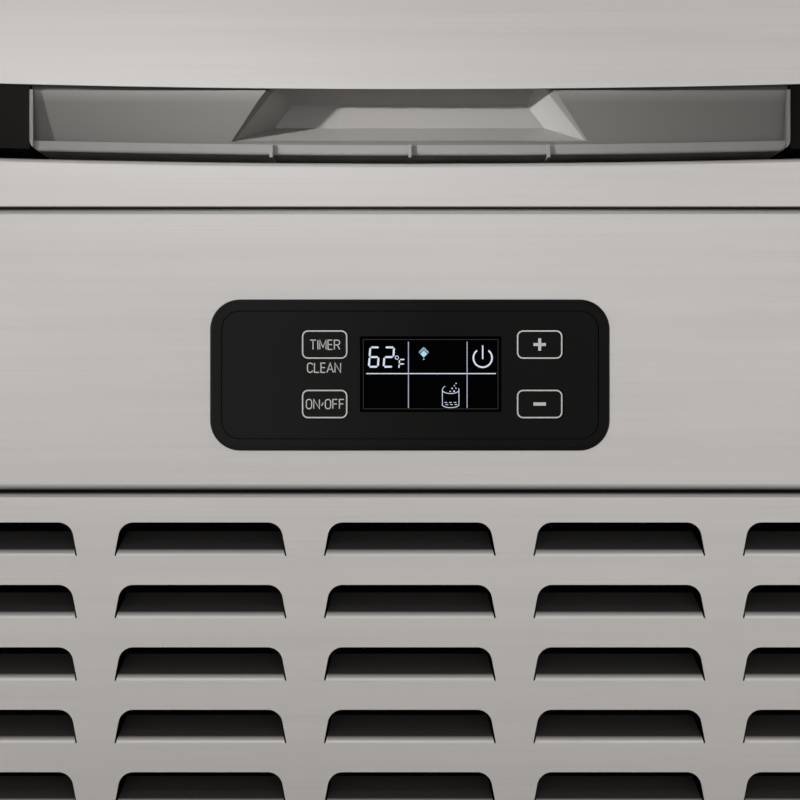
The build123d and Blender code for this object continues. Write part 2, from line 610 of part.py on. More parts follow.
def make_door_liner():
    skin, edge = 1.5, 6.0
    wall = 2.0
    with BuildPart() as liner:
        block(about(0, DOOR_LINER_HALF), (DOOR_BACK_Y, DOOR_BACK_Y + skin), DOOR_LINER_Z)
        block(about(0, DOOR_BULGE_HALF), (DOOR_BACK_Y, DOOR_BACK_Y + DOOR_BULGE), DOOR_BULGE_Z)
        fillet(liner.faces().sort_by(Axis.Y)[-1].edges(), radius=edge)
        block(about(0, DOOR_BULGE_HALF - wall), (DOOR_BACK_Y - 1, DOOR_BACK_Y + DOOR_BULGE - wall),
              (DOOR_BULGE_Z[0] + wall, DOOR_BULGE_Z[1] - wall), Mode.SUBTRACT)
    save(liner, "door_liner")


def make_door_foam():
    clear, wall = 0.2, 2.2
    with BuildPart() as foam:
        block(about(0, DOOR_CAVITY_HALF - clear), (FRONT_Y + 8 + clear, DOOR_BACK_Y),
              (DOOR_CAVITY_Z[0] + clear, DOOR_CAVITY_Z[1] - clear))
        block(about(0, DOOR_BULGE_HALF - wall), (DOOR_BACK_Y, DOOR_BACK_Y + DOOR_BULGE - wall),
              (DOOR_BULGE_Z[0] + wall, DOOR_BULGE_Z[1] - wall))
    save(foam, "door_foam")


def make_door_gasket():
    outer, outer_z, corner = (380.0, 336.0), 556.0, 12.0
    inner, inner_z = (2 * DOOR_LINER_HALF + 2, DOOR_LINER_Z[1] - DOOR_LINER_Z[0] + 2), sum(DOOR_LINER_Z) / 2
    with BuildPart() as gasket:
        with BuildSketch(facing(DOOR_BACK_Y)):
            with Locations((0, outer_z)):
                RectangleRounded(*outer, corner)
            with Locations((0, inner_z)):
                RectangleRounded(*inner, 1, mode=Mode.SUBTRACT)
        extrude(amount=-(LINER_Y[0] - 0.4 - DOOR_BACK_Y))
        fillet(gasket.faces().sort_by(Axis.Y)[-1].edges(), radius=2)
    save(gasket, "door_gasket")


# ---- control panel parts ------------------------------------------------------------------------
def key_places():
    """The middle of each key on the front, as (x, z)."""
    return [(x, BEZEL_Z + z) for x, z in KEYS.values()]


def display_cuts(window_gap):
    """A sketch of the four key holes and the window."""
    with BuildSketch(facing(FRONT_Y - BEZEL_PROUD - 1)) as cuts:
        with Locations(*key_places()):
            RectangleRounded(KEY[0] + 2 * KEY_GAP, KEY[1] + 2 * KEY_GAP, KEY[2] + KEY_GAP)
        with Locations((LCD_AT[0], BEZEL_Z + LCD_AT[1])):
            Rectangle(LCD[0] + window_gap, LCD[1] + window_gap)
    return cuts.sketch


def make_bezel():
    width, height, corner = BEZEL
    skirt_w, skirt_h, skirt_corner = SKIRT
    edge, skirt_depth = 1.7, 17.0
    cuts = display_cuts(window_gap=0.2)
    with BuildPart() as bezel:
        with BuildSketch(facing(FRONT_Y)):
            with Locations((0, BEZEL_Z)):
                RectangleRounded(width, height, corner)
        extrude(amount=BEZEL_PROUD)
        fillet(bezel.faces().sort_by(Axis.Y)[0].edges(), radius=edge)
        with BuildSketch(facing(FRONT_Y - BEZEL_PROUD)):
            with Locations((0, BEZEL_Z)):
                RectangleRounded(width - 2 * RIM, height - 2 * RIM, corner - RIM)
        extrude(amount=-(PLATE_Y - FRONT_Y + BEZEL_PROUD), mode=Mode.SUBTRACT)
        with BuildSketch(facing(FRONT_Y)):
            with Locations((0, BEZEL_Z)):
                RectangleRounded(*SKIRT)
                RectangleRounded(skirt_w - 2 * SKIRT_WALL, skirt_h - 2 * SKIRT_WALL,
                                 skirt_corner - SKIRT_WALL, mode=Mode.SUBTRACT)
        extrude(amount=-skirt_depth)
        extrude(cuts, amount=-8, mode=Mode.SUBTRACT)
    save(bezel, "display_bezel")


def make_overlay():
    width, height, corner = BEZEL
    inset = RIM + 0.3
    cuts = display_cuts(window_gap=0.0)
    with BuildPart() as overlay:
        with BuildSketch(facing(DISPLAY_FACE_Y)):
            with Locations((0, BEZEL_Z)):
                RectangleRounded(width - 2 * inset, height - 2 * inset, corner - inset)
        extrude(amount=-(PLATE_Y - DISPLAY_FACE_Y))
        extrude(cuts, amount=-8, mode=Mode.SUBTRACT)
    save(overlay, "display_overlay")


def make_lcd():
    x, z = LCD_AT[0], BEZEL_Z + LCD_AT[1]
    half_x, half_z = LCD[0] / 2 - 0.1, LCD[1] / 2 - 0.1
    step = 4.0
    with BuildPart() as lcd:
        block(about(x, half_x), (DISPLAY_FACE_Y + 0.5, LCD_BACK_Y), about(z, half_z))
        block(about(x, half_x - step), (LCD_BACK_Y, BOARD_Y), about(z, half_z - step))
    save(lcd, "lcd_module")


def make_control_board():
    thickness = 1.6
    width, height = SKIRT[0] - 2 * SKIRT_WALL - 1, SKIRT[1] - 2 * SKIRT_WALL - 1
    back_y = BOARD_Y + thickness
    components = ((-40, 4, 22, 16, 3), (-5, -8, 14, 14, 2), (30, 10, 30, 8, 7), (45, -10, 12, 8, 5))
    with BuildPart() as board:
        with BuildSketch(facing(BOARD_Y)):
            with Locations((0, BEZEL_Z)):
                RectangleRounded(width, height, BOARD_CORNER)
        extrude(amount=-thickness)
        for x, z in key_places():
            block(about(x, 3), (BOARD_Y - SWITCH, BOARD_Y), about(z, 3))
            rod(x, (BOARD_Y - SWITCH - SWITCH_STEM, BOARD_Y - SWITCH), z, 1.7, "Y")
        for x, z, wide, high, thick in components:
            block(about(x, wide / 2), (back_y, back_y + thick), about(BEZEL_Z + z, high / 2))
    save(board, "control_board")


def make_key(name):
    x, z = KEYS[name]
    z += BEZEL_Z
    back_y = PLATE_Y + KEY_DEPTH
    proud, edge, stem_r = 0.25, 0.3, 2.5
    switch_y = BOARD_Y - SWITCH - SWITCH_STEM
    with BuildPart() as key:
        with BuildSketch(facing(back_y)):
            with Locations((x, z)):
                RectangleRounded(*KEY)
        extrude(amount=back_y - DISPLAY_FACE_Y + proud)
        fillet(key.faces().sort_by(Axis.Y)[0].edges(), radius=edge)
        rod(x, (back_y, switch_y - KEY_TRAVEL - 0.1), z, stem_r, "Y")
    save(key, name)


# ---- ice making ---------------------------------------------------------------------------------
def make_evaporator():
    cells_x, cells_z = 8, 5
    pitch, wall, corner, draft, back = 28.0, 1.6, 2.0, 3, 1.5
    with BuildPart() as grid:
        block(about(0, EVAPORATOR_HALF), EVAPORATOR_Y, EVAPORATOR_Z)
        with BuildSketch(facing(EVAPORATOR_Y[0])):
            with Locations((0, sum(EVAPORATOR_Z) / 2)):
                with GridLocations(pitch, pitch, cells_x, cells_z):
                    RectangleRounded(pitch - wall, pitch - wall, corner)
        extrude(amount=-(EVAPORATOR_Y[1] - EVAPORATOR_Y[0] - back), taper=draft, mode=Mode.SUBTRACT)
    save(grid, "evaporator_grid")


def make_evaporator_coil():
    low, high = COIL_Z
    passes = 3
    step = (high - low) / passes
    left, right, bend = -92.0, 96.0, 15.0
    points = [(COIL_END_X, COIL_Y, low)]
    for number in range(passes):
        end = right if number % 2 == 0 else left
        points += [(end, COIL_Y, low + number * step), (end, COIL_Y, low + (number + 1) * step)]
    points.append((COIL_END_X, COIL_Y, high))
    save(tube(points, COIL_R, bend), "evaporator_coil")


def make_evaporator_bracket():
    inner, outer = EVAPORATOR_HALF + 0.5, EVAPORATOR_HALF + 4.5
    plate_y, plate_z = (62.0, 128.0), (560.0, LINER_Z[1] - LINER_WALL)
    notch_y, notch_z = (EVAPORATOR_Y[1] - 0.5, plate_y[1] + 1), (COIL_Z[0] - 8, COIL_Z[1] + 8)
    with BuildPart() as bracket:
        for x in both_sides(inner, outer):
            block(x, plate_y, plate_z)
            block(x, notch_y, notch_z, Mode.SUBTRACT)
            rod(x, CURTAIN_Y, CURTAIN_Z, CURTAIN_PIN_R + 0.06, "X", Mode.SUBTRACT)
        rod((inner, outer), SHOWER_Y, SHOWER_Z, SHOWER_R + 0.2, "X", Mode.SUBTRACT)
    save(bracket, "evaporator_bracket")


def make_distributor():
    wall, end_x = 1.8, 126.0
    holes, hole_pitch, hole_r = 15, 15.0, 1.1
    with BuildPart() as pipe:
        rod((-EVAPORATOR_HALF - 0.4, end_x), SHOWER_Y, SHOWER_Z, SHOWER_R, "X")
        rod((-EVAPORATOR_HALF + 2, end_x + 1), SHOWER_Y, SHOWER_Z, SHOWER_R - wall, "X", Mode.SUBTRACT)
        for number in range(holes):
            rod((number - (holes - 1) / 2) * hole_pitch, SHOWER_Y, (SHOWER_Z - 12, SHOWER_Z), hole_r,
                mode=Mode.SUBTRACT)
    save(pipe, "water_distributor")


def make_trough():
    wall, corner = LINER_WALL, 10.0
    ear, ear_y = 4.0, (75.0, 125.0)
    with BuildPart() as hollow:
        block(about(0, TROUGH_X - wall), (TROUGH_Y[0] + wall, TROUGH_Y[1] - wall),
              (TROUGH_FLOOR, TROUGH_Z[1] + 1))
        fillet(hollow.edges().filter_by(Axis.X).sort_by(Axis.Z)[:2], radius=corner - wall)
    with BuildPart() as trough:
        block(about(0, TROUGH_X), TROUGH_Y, TROUGH_Z)
        fillet(trough.edges().filter_by(Axis.X).sort_by(Axis.Z)[:2], radius=corner)
        add(hollow.part, mode=Mode.SUBTRACT)
        for x in both_sides(TROUGH_X, LINER_X - LINER_WALL):
            block(x, ear_y, (TROUGH_Z[1] - ear, TROUGH_Z[1]))
    save(trough, "water_trough")


def make_pump():
    x, y = PUMP
    motor_z, motor_r, cap = (556.0, 606.0), 19.0, 6.0
    neck_r, housing_r, housing = 9.0, 18.0, 17.0
    chamber_r, inlet_r, shaft_hole_r = 14.5, 6.0, 2.05
    outlet_y, outlet_r, outlet_bore = (y + 15, y + 24), 6.0, 4.5
    with BuildPart() as pump:
        rod(x, y, motor_z, motor_r)
        rod(x, y, (motor_z[1], motor_z[1] + cap), neck_r)
        rod(x, y, (TROUGH_FLOOR + housing - 1, motor_z[0]), neck_r)
        rod(x, y, (TROUGH_FLOOR, TROUGH_FLOOR + housing), housing_r)
        rod(x, outlet_y, PUMP_OUTLET_Z, outlet_r, "Y")
        rod(x, y, (TROUGH_FLOOR + 3, TROUGH_FLOOR + 13), chamber_r, mode=Mode.SUBTRACT)
        rod(x, y, (TROUGH_FLOOR - 1, TROUGH_FLOOR + 4), inlet_r, mode=Mode.SUBTRACT)
        rod(x, y, (TROUGH_FLOOR + 10, motor_z[0] + 14), shaft_hole_r, mode=Mode.SUBTRACT)
        rod(x, (outlet_y[0] - 3, outlet_y[1] + 1), PUMP_OUTLET_Z, outlet_bore, "Y", Mode.SUBTRACT)
    save(pump, "circulation_pump")


def make_pump_rotor():
    x, y = PUMP
    disc_r, shaft_r, shaft_top = 12.5, 2.0, 565.0
    vanes, vane = 6, (10.0, 1.4, 4.0)
    with BuildPart() as rotor:
        rod(x, y, (TROUGH_FLOOR + 8, TROUGH_FLOOR + 10), disc_r)
        rod(x, y, (TROUGH_FLOOR + 5, shaft_top), shaft_r)
        for number in range(vanes):
            with Locations(Location((x, y, TROUGH_FLOOR + 6.2), (0, 0, 360 / vanes * number))):
                with Locations((7, 0, 0)):
                    Box(*vane)
    save(rotor, "pump_rotor")


def make_pump_hose():
    x, y = PUMP
    hose_r, bend = 6.0, 9.5
    rise_y, end_x = y + 36, 126.2
    route = [(x, y + 24.2, PUMP_OUTLET_Z), (x, rise_y, PUMP_OUTLET_Z), (x, rise_y, SHOWER_Z),
             (x, SHOWER_Y, SHOWER_Z), (end_x, SHOWER_Y, SHOWER_Z)]
    save(tube(route, hose_r, bend), "pump_hose")


def make_curtain():
    half, low = 110.0, 570.0
    rib_pitch, rib_z = 30, (580.0, 724.0)
    with BuildPart() as curtain:
        block(about(0, half), about(CURTAIN_Y, 1), (low, CURTAIN_Z))
        fillet(curtain.edges().filter_by(Axis.Y), radius=2)
        for x in range(-90, 91, rib_pitch):
            block(about(x, 1), (CURTAIN_Y - 3, CURTAIN_Y), rib_z)
        rod(about(0, EVAPORATOR_HALF + 4), CURTAIN_Y, CURTAIN_Z, CURTAIN_PIN_R, "X")
    save(curtain, "water_curtain")


def make_chute():
    angle = math.radians(18)
    tilt = Plane(origin=(0, 94, 563), x_dir=(1, 0, 0), z_dir=(0, -math.sin(angle), math.cos(angle)))
    plate, slats, slat_pitch, slot = (222.0, 60.0, 3.0), 16, 13.0, (50.0, 8.5)
    rest_z = TROUGH_Z[1] + 0.2
    with BuildPart() as chute:
        with BuildSketch(tilt):
            RectangleRounded(*plate)
            with GridLocations(slat_pitch, 0, slats, 1):
                SlotOverall(*slot, rotation=90, mode=Mode.SUBTRACT)
        extrude(amount=3)
        for x in both_sides(100, 108):
            block(x, (68, 74), (rest_z, 557))
            block(x, (112, 118), (rest_z, 571))
        for x in both_sides(98, 118):
            block(x, (60.5, 61.8), (TROUGH_Z[1] - 10, 554.5))
            block(x, (60.5, 70), (rest_z, 554.5))
    save(chute, "ice_chute")


# ---- refrigeration ------------------------------------------------------------------------------
def make_compressor():
    x, y = COMPRESSOR
    bottom, shoulder, crown = COMPRESSOR_FOOT_Z + 3.0, 178.0, 216.0
    dome_r = (COMPRESSOR_R**2 + (crown - shoulder) ** 2) / (2 * (crown - shoulder))
    half_turn = math.asin(COMPRESSOR_R / dome_r) / 2
    dome_middle = (dome_r * math.sin(half_turn), crown - dome_r * (1 - math.cos(half_turn)))
    weld_z, weld_proud = (120.0, 124.0), 2.5
    stub = (-STUB_REACH, -COMPRESSOR_R + 4)
    terminals = (96.0, 150.0)
    base, foot_r, foot_hole_r = (87.0, 34.0), 14.0, 6.0
    foot_middle = COMPRESSOR_FOOT_Z + FOOT_PLATE / 2
    with BuildPart() as compressor:
        with BuildSketch(Plane.XZ):
            with BuildLine():
                Polyline((0, bottom), (40, bottom))
                ThreePointArc((40, bottom), (57, bottom + 5), (COMPRESSOR_R, bottom + 23))
                Line((COMPRESSOR_R, bottom + 23), (COMPRESSOR_R, shoulder))
                ThreePointArc((COMPRESSOR_R, shoulder), dome_middle, (0, crown))
                Line((0, crown), (0, bottom))
            make_face()
        revolve(axis=Axis.Z)
        rod(0, 0, weld_z, COMPRESSOR_R + weld_proud)
        rod(stub, 0, STUB_Z, 6.5, "X")
        rod(0, stub, STUB_Z, 5.5, "Y")
        block((COMPRESSOR_R - 6, COMPRESSOR_R + 16), (-22, 22), terminals)
        block(about(0, base[0]), about(0, base[1]), (COMPRESSOR_FOOT_Z, COMPRESSOR_FOOT_Z + FOOT_PLATE))
        with Locations(*[(*foot, foot_middle) for foot in COMPRESSOR_FEET]):
            Cylinder(foot_r, FOOT_PLATE)
        with Locations(*[(*foot, foot_middle) for foot in COMPRESSOR_FEET]):
            Cylinder(foot_hole_r, FOOT_PLATE + 2, mode=Mode.SUBTRACT)
    compressor.part.position = (x, y, 0)
    save(compressor, "compressor")


def make_grommets():
    low, plate_top = PAN_Z + FRAME_SHEET, COMPRESSOR_FOOT_Z + FOOT_PLATE
    with BuildPart() as grommets:
        for x, y in COMPRESSOR_FEET:
            at = (COMPRESSOR[0] + x, COMPRESSOR[1] + y)
            rod(*at, (low, COMPRESSOR_FOOT_Z), 11)
            rod(*at, (COMPRESSOR_FOOT_Z, plate_top), 5.9)
            rod(*at, (plate_top, plate_top + 4.8), 9)
    save(grommets, "compressor_grommets")


def make_condenser_fins():
    count, depth, thickness = 40, 30.0, 0.4
    pitch = (CONDENSER_X[1] - CONDENSER_X[0]) / (count - 1)
    with BuildPart() as fin:
        with BuildSketch(Plane.YZ):
            with Locations((CONDENSER_Y, sum(CONDENSER_Z) / 2)):
                Rectangle(depth, CONDENSER_Z[1] - CONDENSER_Z[0])
            with Locations(*[(CONDENSER_Y, z) for z in CONDENSER_TUBE_Z]):
                Circle(CONDENSER_TUBE_R + 0.15, mode=Mode.SUBTRACT)
        extrude(amount=thickness)
    with BuildPart() as row:
        with Locations(*[(CONDENSER_X[0] + number * pitch, 0, 0) for number in range(count)]):
            add(fin.part)
    save(row, "condenser_fins")


def make_condenser_tube():
    left, right, bend = CONDENSER_X[0] - 18, CONDENSER_X[1] + 19, 14.5
    points = [(CONDENSER_END_X, CONDENSER_Y, CONDENSER_TUBE_Z[0])]
    for number, (low, high) in enumerate(zip(CONDENSER_TUBE_Z, CONDENSER_TUBE_Z[1:])):
        end = left if number % 2 == 0 else right
        points += [(end, CONDENSER_Y, low), (end, CONDENSER_Y, high)]
    points.append((CONDENSER_END_X, CONDENSER_Y, CONDENSER_TUBE_Z[-1]))
    save(tube(points, CONDENSER_TUBE_R, bend), "condenser_tube")


def make_fan_shroud():
    duct_y = (CONDENSER_Y + 16, -110.0)
    wall, ring, strap = 1.5, 14.0, 2.5
    low, high = CONDENSER_Z
    x, z = FAN
    with BuildPart() as shroud:
        block(CONDENSER_X, duct_y, CONDENSER_Z)
        block((CONDENSER_X[0] + wall, CONDENSER_X[1] - wall), (duct_y[0] - 1, duct_y[1] - wall),
              (low + wall, high - wall), Mode.SUBTRACT)
        rod(x, (duct_y[1] - wall, duct_y[1] + ring), z, FAN_R + 6, "Y")
        rod(x, (duct_y[1] - 3, duct_y[1] + ring + 1), z, FAN_R + 4, "Y", Mode.SUBTRACT)
        block(about(x, 10), FAN_STRAP_Y, CONDENSER_Z)
        block(about(x, 10), (duct_y[1], FAN_STRAP_Y[1]), (low, low + strap))
        block(about(x, 10), (duct_y[1], FAN_STRAP_Y[1]), (high - strap, high))
        rod(x, (FAN_STRAP_Y[0] - 1, FAN_STRAP_Y[1] + 1), z, 6, "Y", Mode.SUBTRACT)
    save(shroud, "fan_shroud")


def make_fan_motor():
    x, z = FAN
    can_y, can_r, edge = (FAN_STRAP_Y[1] + 0.2, -44.0), 30.0, 3.0
    with BuildPart() as motor:
        rod(x, can_y, z, can_r, "Y")
        fillet(motor.edges().filter_by(GeomType.CIRCLE), radius=edge)
        rod(x, (FAN_STRAP_Y[0] - 1, can_y[0] + 0.8), z, 5.6, "Y")
        rod(x, (FAN_STRAP_Y[0] - 2, -60), z, FAN_SHAFT_R + 0.06, "Y", Mode.SUBTRACT)
        block(about(x, 14), (can_y[1] - 0.5, can_y[1] + 8), about(z, 14))
    save(motor, "fan_motor")


def make_fan_blade():
    x, z = FAN
    middle_y = -97.5
    hub_r, hub, shaft_end = 20.0, 9.0, 36.0
    blades, pitch_angle, blade = 5, 28.0, (54.0, 1.4, 62.0)
    with BuildPart() as one_blade:
        with Locations(Location((0, 0, 48), (0, 0, pitch_angle))):
            Box(*blade)
        with BuildSketch(Plane.XZ):
            with Locations((4, 45)):
                Ellipse(27, 33)
        extrude(amount=40, both=True, mode=Mode.INTERSECT)
    with BuildPart() as rotor:
        rod(0, (-hub, hub), 0, hub_r, "Y")
        fillet(rotor.faces().sort_by(Axis.Y)[0].edges(), radius=4)
        rod(0, (hub, shaft_end), 0, FAN_SHAFT_R, "Y")
        for number in range(blades):
            add(one_blade.part.rotate(Axis.Y, 360 / blades * number))
    rotor.part.position = (x, middle_y, z)
    save(rotor, "fan_blade")


def make_air_filter():
    """A screen in a ribbed frame, standing on the pan's lip behind the louvre panel's folded edges."""
    half, border, rib, corner = 187.0, 7.0, 1.5, 4.0
    depth_y, low, high = (FRONT_Y + RETURN + 0.2, FRONT_Y + RETURN + 5.2), PAN_Z + PAN_LIP + 0.2, 259.8
    screen_y = about(sum(depth_y) / 2, 0.3)
    with BuildPart() as screen:
        block(about(0, half), depth_y, (low, high))
        fillet(screen.edges().filter_by(Axis.Y), radius=corner)
        block(about(0, half - border), (depth_y[0] - 1, depth_y[1] + 1), (low + border, high - border),
              Mode.SUBTRACT)
        block(about(0, half - border + 1), screen_y, (low + border - 1, high - border + 1))
        for x in (-93, 0, 93):
            block(about(x, rib), depth_y, (low + border - 1, high - border + 1))
        block(about(0, half - border + 1), depth_y, about((low + high) / 2, rib))
    save(screen, "air_filter")


def filter_drier():
    """The drier's can, brazed into the liquid line."""
    start, end = DRIER_Y
    neck_in, neck_out, body_r = 4.0, 3.5, 11.0
    with BuildPart() as drier:
        with BuildSketch(Plane.XY):
            with BuildLine():
                Polyline((0, start), (neck_in, start), (neck_in, start + 8))
                ThreePointArc((neck_in, start + 8), (9, start + 12), (body_r, start + 19))
                Line((body_r, start + 19), (body_r, end - 20))
                ThreePointArc((body_r, end - 20), (9, end - 13), (neck_out, end - 8))
                Polyline((neck_out, end - 8), (neck_out, end), (0, end), (0, start))
            make_face()
        revolve(axis=Axis.Y)
    drier.part.position = (DRIER_X, 0, CONDENSER_TUBE_Z[0])
    return drier.part


def make_liquid_line():
    low_z = CONDENSER_TUBE_Z[0]
    turn_x, turn_y, cross_z = 176.0, -16.0, 240.0
    to_drier = tube([(CONDENSER_END_X + JOINT_GAP, CONDENSER_Y, low_z), (DRIER_X, CONDENSER_Y, low_z),
                     (DRIER_X, DRIER_Y[0] - JOINT_GAP, low_z)], CONDENSER_TUBE_R, 12)
    onward = tube([(DRIER_X, DRIER_Y[1] + JOINT_GAP, low_z), (DRIER_X, turn_y, low_z),
                   (turn_x, turn_y, low_z), (turn_x, turn_y, cross_z), (LIQUID_LINE_X, 20, cross_z),
                   (LIQUID_LINE_X, CHASE_Y, cross_z), (LIQUID_LINE_X, CHASE_Y, COIL_Z[0]),
                   (LIQUID_LINE_X, COIL_Y, COIL_Z[0]), (COIL_END_X - JOINT_GAP, COIL_Y, COIL_Z[0])],
                  LIQUID_LINE_R, 6)
    with BuildPart() as line:
        add([to_drier.part, filter_drier(), onward.part])
    save(line, "liquid_line")


def make_suction_line():
    x, y = COMPRESSOR
    drop_x, cross_z = -2.0, 260.0
    route = [(x - STUB_REACH - JOINT_GAP, y, STUB_Z), (drop_x, y, STUB_Z), (drop_x, y, cross_z),
             (SUCTION_LINE_X, 60, cross_z), (SUCTION_LINE_X, CHASE_Y, cross_z),
             (SUCTION_LINE_X, CHASE_Y, COIL_Z[1]), (SUCTION_LINE_X, COIL_Y, COIL_Z[1]),
             (COIL_END_X - JOINT_GAP, COIL_Y, COIL_Z[1])]
    save(tube(route, SUCTION_LINE_R, 11), "suction_line")


def make_discharge_line():
    x, y = COMPRESSOR
    rise_y, cross_z, side_x = -62.0, 205.0, 150.0
    top_z = CONDENSER_TUBE_Z[-1]
    route = [(x, y - STUB_REACH - JOINT_GAP, STUB_Z), (x, rise_y, STUB_Z), (x, rise_y, cross_z),
             (side_x, -80, cross_z), (side_x, CONDENSER_Y, top_z),
             (CONDENSER_END_X + JOINT_GAP, CONDENSER_Y, top_z)]
    save(tube(route, CONDENSER_TUBE_R, 10), "discharge_line")


def make_hot_gas_valve():
    x, y, z = HOT_GAS_VALVE
    body, port_r, port = 12.0, 5.0, 10.0
    coil_z, coil_r = (262.0, DECK_Z - 0.2), 15.0
    with BuildPart() as valve:
        block(about(x, body), (y - 11, y + 11), about(z, body))
        rod(x, y, (z + body, coil_z[0]), port_r)
        rod(x, y, coil_z, coil_r)
        rod(x, (y - 23, y - 11), z, port_r, "Y")
        rod((x - body - port, x - body), y, z, port_r, "X")
    save(valve, "hot_gas_valve")


def make_hot_gas_line():
    x, y, z = HOT_GAS_VALVE
    line_r, cross_x, cross_z = 3.0, 96.0, 270.0
    from_discharge = tube([(x, y - 23.2, z), (x, y - 37, z), (x, y - 37, 214), (x - 8, -68.5, 209.5)],
                          line_r, 6)
    to_evaporator = tube([(x - 22.2, y, z), (cross_x, y, z), (cross_x, y, cross_z),
                          (LIQUID_LINE_X, 40, cross_z), (LIQUID_LINE_X, CHASE_Y - 2.6, cross_z)],
                         line_r, 8)
    with BuildPart() as line:
        add([from_discharge.part, to_evaporator.part])
    save(line, "hot_gas_line")


# ---- water and mains ----------------------------------------------------------------------------
def make_water_valve():
    x, z = WATER_VALVE
    flange_r, bore_r, neck_r = 18.0, 9.5, 12.0
    outlet_y, solenoid_x = 152.0, (x + 17, x + 40)
    with BuildPart() as valve:
        rod(x, (REAR_Y - 4, REAR_REACH), z, WATER_THREAD_R, "Y")
        rod(x, (REAR_Y - 8, REAR_Y - SHEET), z, flange_r, "Y")
        rod(x, (140, REAR_Y - 7), z, neck_r, "Y")
        block(about(x, 14), (138, 164), about(z, 14))
        rod(x, outlet_y, (z + 13, z + 26), WATER_LINE_R)
        rod((x + 14, x + 44), 151, z, neck_r, "X")
        block(solenoid_x, (136, 166), about(z, 16))
        rod(x, (REAR_Y - 10, REAR_REACH + 1), z, bore_r, "Y", Mode.SUBTRACT)
    save(valve, "water_inlet_valve")


def make_water_hose():
    x, z = WATER_VALVE
    outlet_y, cross_z = 152.0, 232.0
    fill_y, fill_z = 137.0, TROUGH_Z[1] + 3
    route = [(x, outlet_y, z + 26 + JOINT_GAP), (x, outlet_y, cross_z), (WATER_LINE_X, CHASE_Y, cross_z),
             (WATER_LINE_X, CHASE_Y, FILL_Z), (WATER_LINE_X, fill_y, FILL_Z), (WATER_LINE_X, fill_y, fill_z)]
    save(tube(route, WATER_LINE_R, 8), "water_fill_hose")


def make_power_inlet():
    x, z = POWER_INLET
    flange, body, depth = (50.0, 26.0, 4.0), (13.6, 10.0), 14.0
    with BuildPart() as inlet:
        with BuildSketch(facing(REAR_Y + 3)):
            with Locations((x, z)):
                RectangleRounded(*flange)
        extrude(amount=3)
        block(about(x, body[0]), (REAR_Y - depth - 4, REAR_Y + 1), about(z, body[1]))
        block(about(x, SOCKET[0] / 2), (REAR_Y - depth, REAR_Y + 4), about(z, SOCKET[1] / 2),
              Mode.SUBTRACT)
        for pin_x, pin_z in ((-7, -2), (0, 2), (7, -2)):
            block(about(x + pin_x, 1), (REAR_Y - depth - 1, REAR_Y - 1), about(z + pin_z, 2))
    save(inlet, "power_inlet")


def make_electrical_box():
    x, y, z = (100.0, 192.0), (112.0, 158.0), (78.0, 166.0)
    wall, corner = 2.0, 4.0
    with BuildPart() as box:
        block(x, y, z)
        fillet(box.edges().filter_by(Axis.Y), radius=corner)
        block((x[0] + wall, x[1] - wall), (y[0] + wall, y[1] + 1), (z[0] + wall, z[1] - wall),
              Mode.SUBTRACT)
        block((x[0] + wall, x[1] - wall), (150, 151.6), (z[0] + 6, z[1] - 6))
        block((112, 142), (134, 150), (100, 140))
        rod(168, (132, 150), 120, 12, "Y")
    save(box, "electrical_box")


def make_foot(x, y, name):
    pad_r, cone_top, nut_z, stem_top = 20.5, 20.0, 29.0, 74.0
    with BuildPart() as foot:
        with BuildSketch(Plane.XZ):
            with BuildLine():
                Polyline((0, 0), (pad_r - 2.5, 0))
                ThreePointArc((pad_r - 2.5, 0), (pad_r - 0.5, 1.2), (pad_r, 3.5))
                Polyline((pad_r, 3.5), (17, 15), (11, 18), (11, cone_top), (0, cone_top), (0, 0))
            make_face()
        revolve(axis=Axis.Z)
        with BuildSketch(Plane.XY.offset(cone_top)):
            RegularPolygon(FOOT_NUT_R, 6)
        extrude(amount=nut_z - cone_top)
        rod(0, 0, (nut_z, BASE_Z - 0.3), 9)
        rod(0, 0, (BASE_Z - 0.3, stem_top), FOOT_STEM_R)
        chamfer(foot.edges().sort_by(Axis.Z)[-1], length=1)
    foot.part.position = (x, y, 0)
    save(foot, name)


make_base_pan()
make_side_panel(-1, "left_side_panel")
make_side_panel(1, "right_side_panel")
for make_piece in (make_top_cover, make_header, make_sill_rail, make_control_panel, make_louver_panel,
                   make_rear_panel, make_screws, make_deck, make_foam, make_liner, make_bin_drain,
                   make_hinge_brackets, make_door_skin, make_door_frame, make_door_grip,
                   make_door_liner, make_door_foam, make_door_gasket, make_bezel, make_overlay,
                   make_lcd, make_control_board, make_evaporator, make_evaporator_coil,
                   make_evaporator_bracket, make_distributor, make_trough, make_pump,
                   make_pump_rotor, make_pump_hose, make_curtain, make_chute, make_compressor,
                   make_grommets, make_condenser_fins, make_condenser_tube, make_fan_shroud,
                   make_fan_motor, make_fan_blade, make_air_filter, make_liquid_line, make_suction_line,
                   make_discharge_line, make_hot_gas_valve, make_hot_gas_line, make_water_valve,
                   make_water_hose, make_power_inlet, make_electrical_box):
    make_piece()
for key_name in KEYS:
    make_key(key_name)
for side_name, foot_x in (("left", -FOOT_X), ("right", FOOT_X)):
    for end_name, foot_y in (("front", FOOT_Y[0]), ("rear", FOOT_Y[1])):
        make_foot(foot_x, foot_y, f"foot_{end_name}_{side_name}")
print(len(saved), "pieces written")
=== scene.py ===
"""The packed ice maker's looks: materials, the lit display, printed markings, camera and lights."""

import math

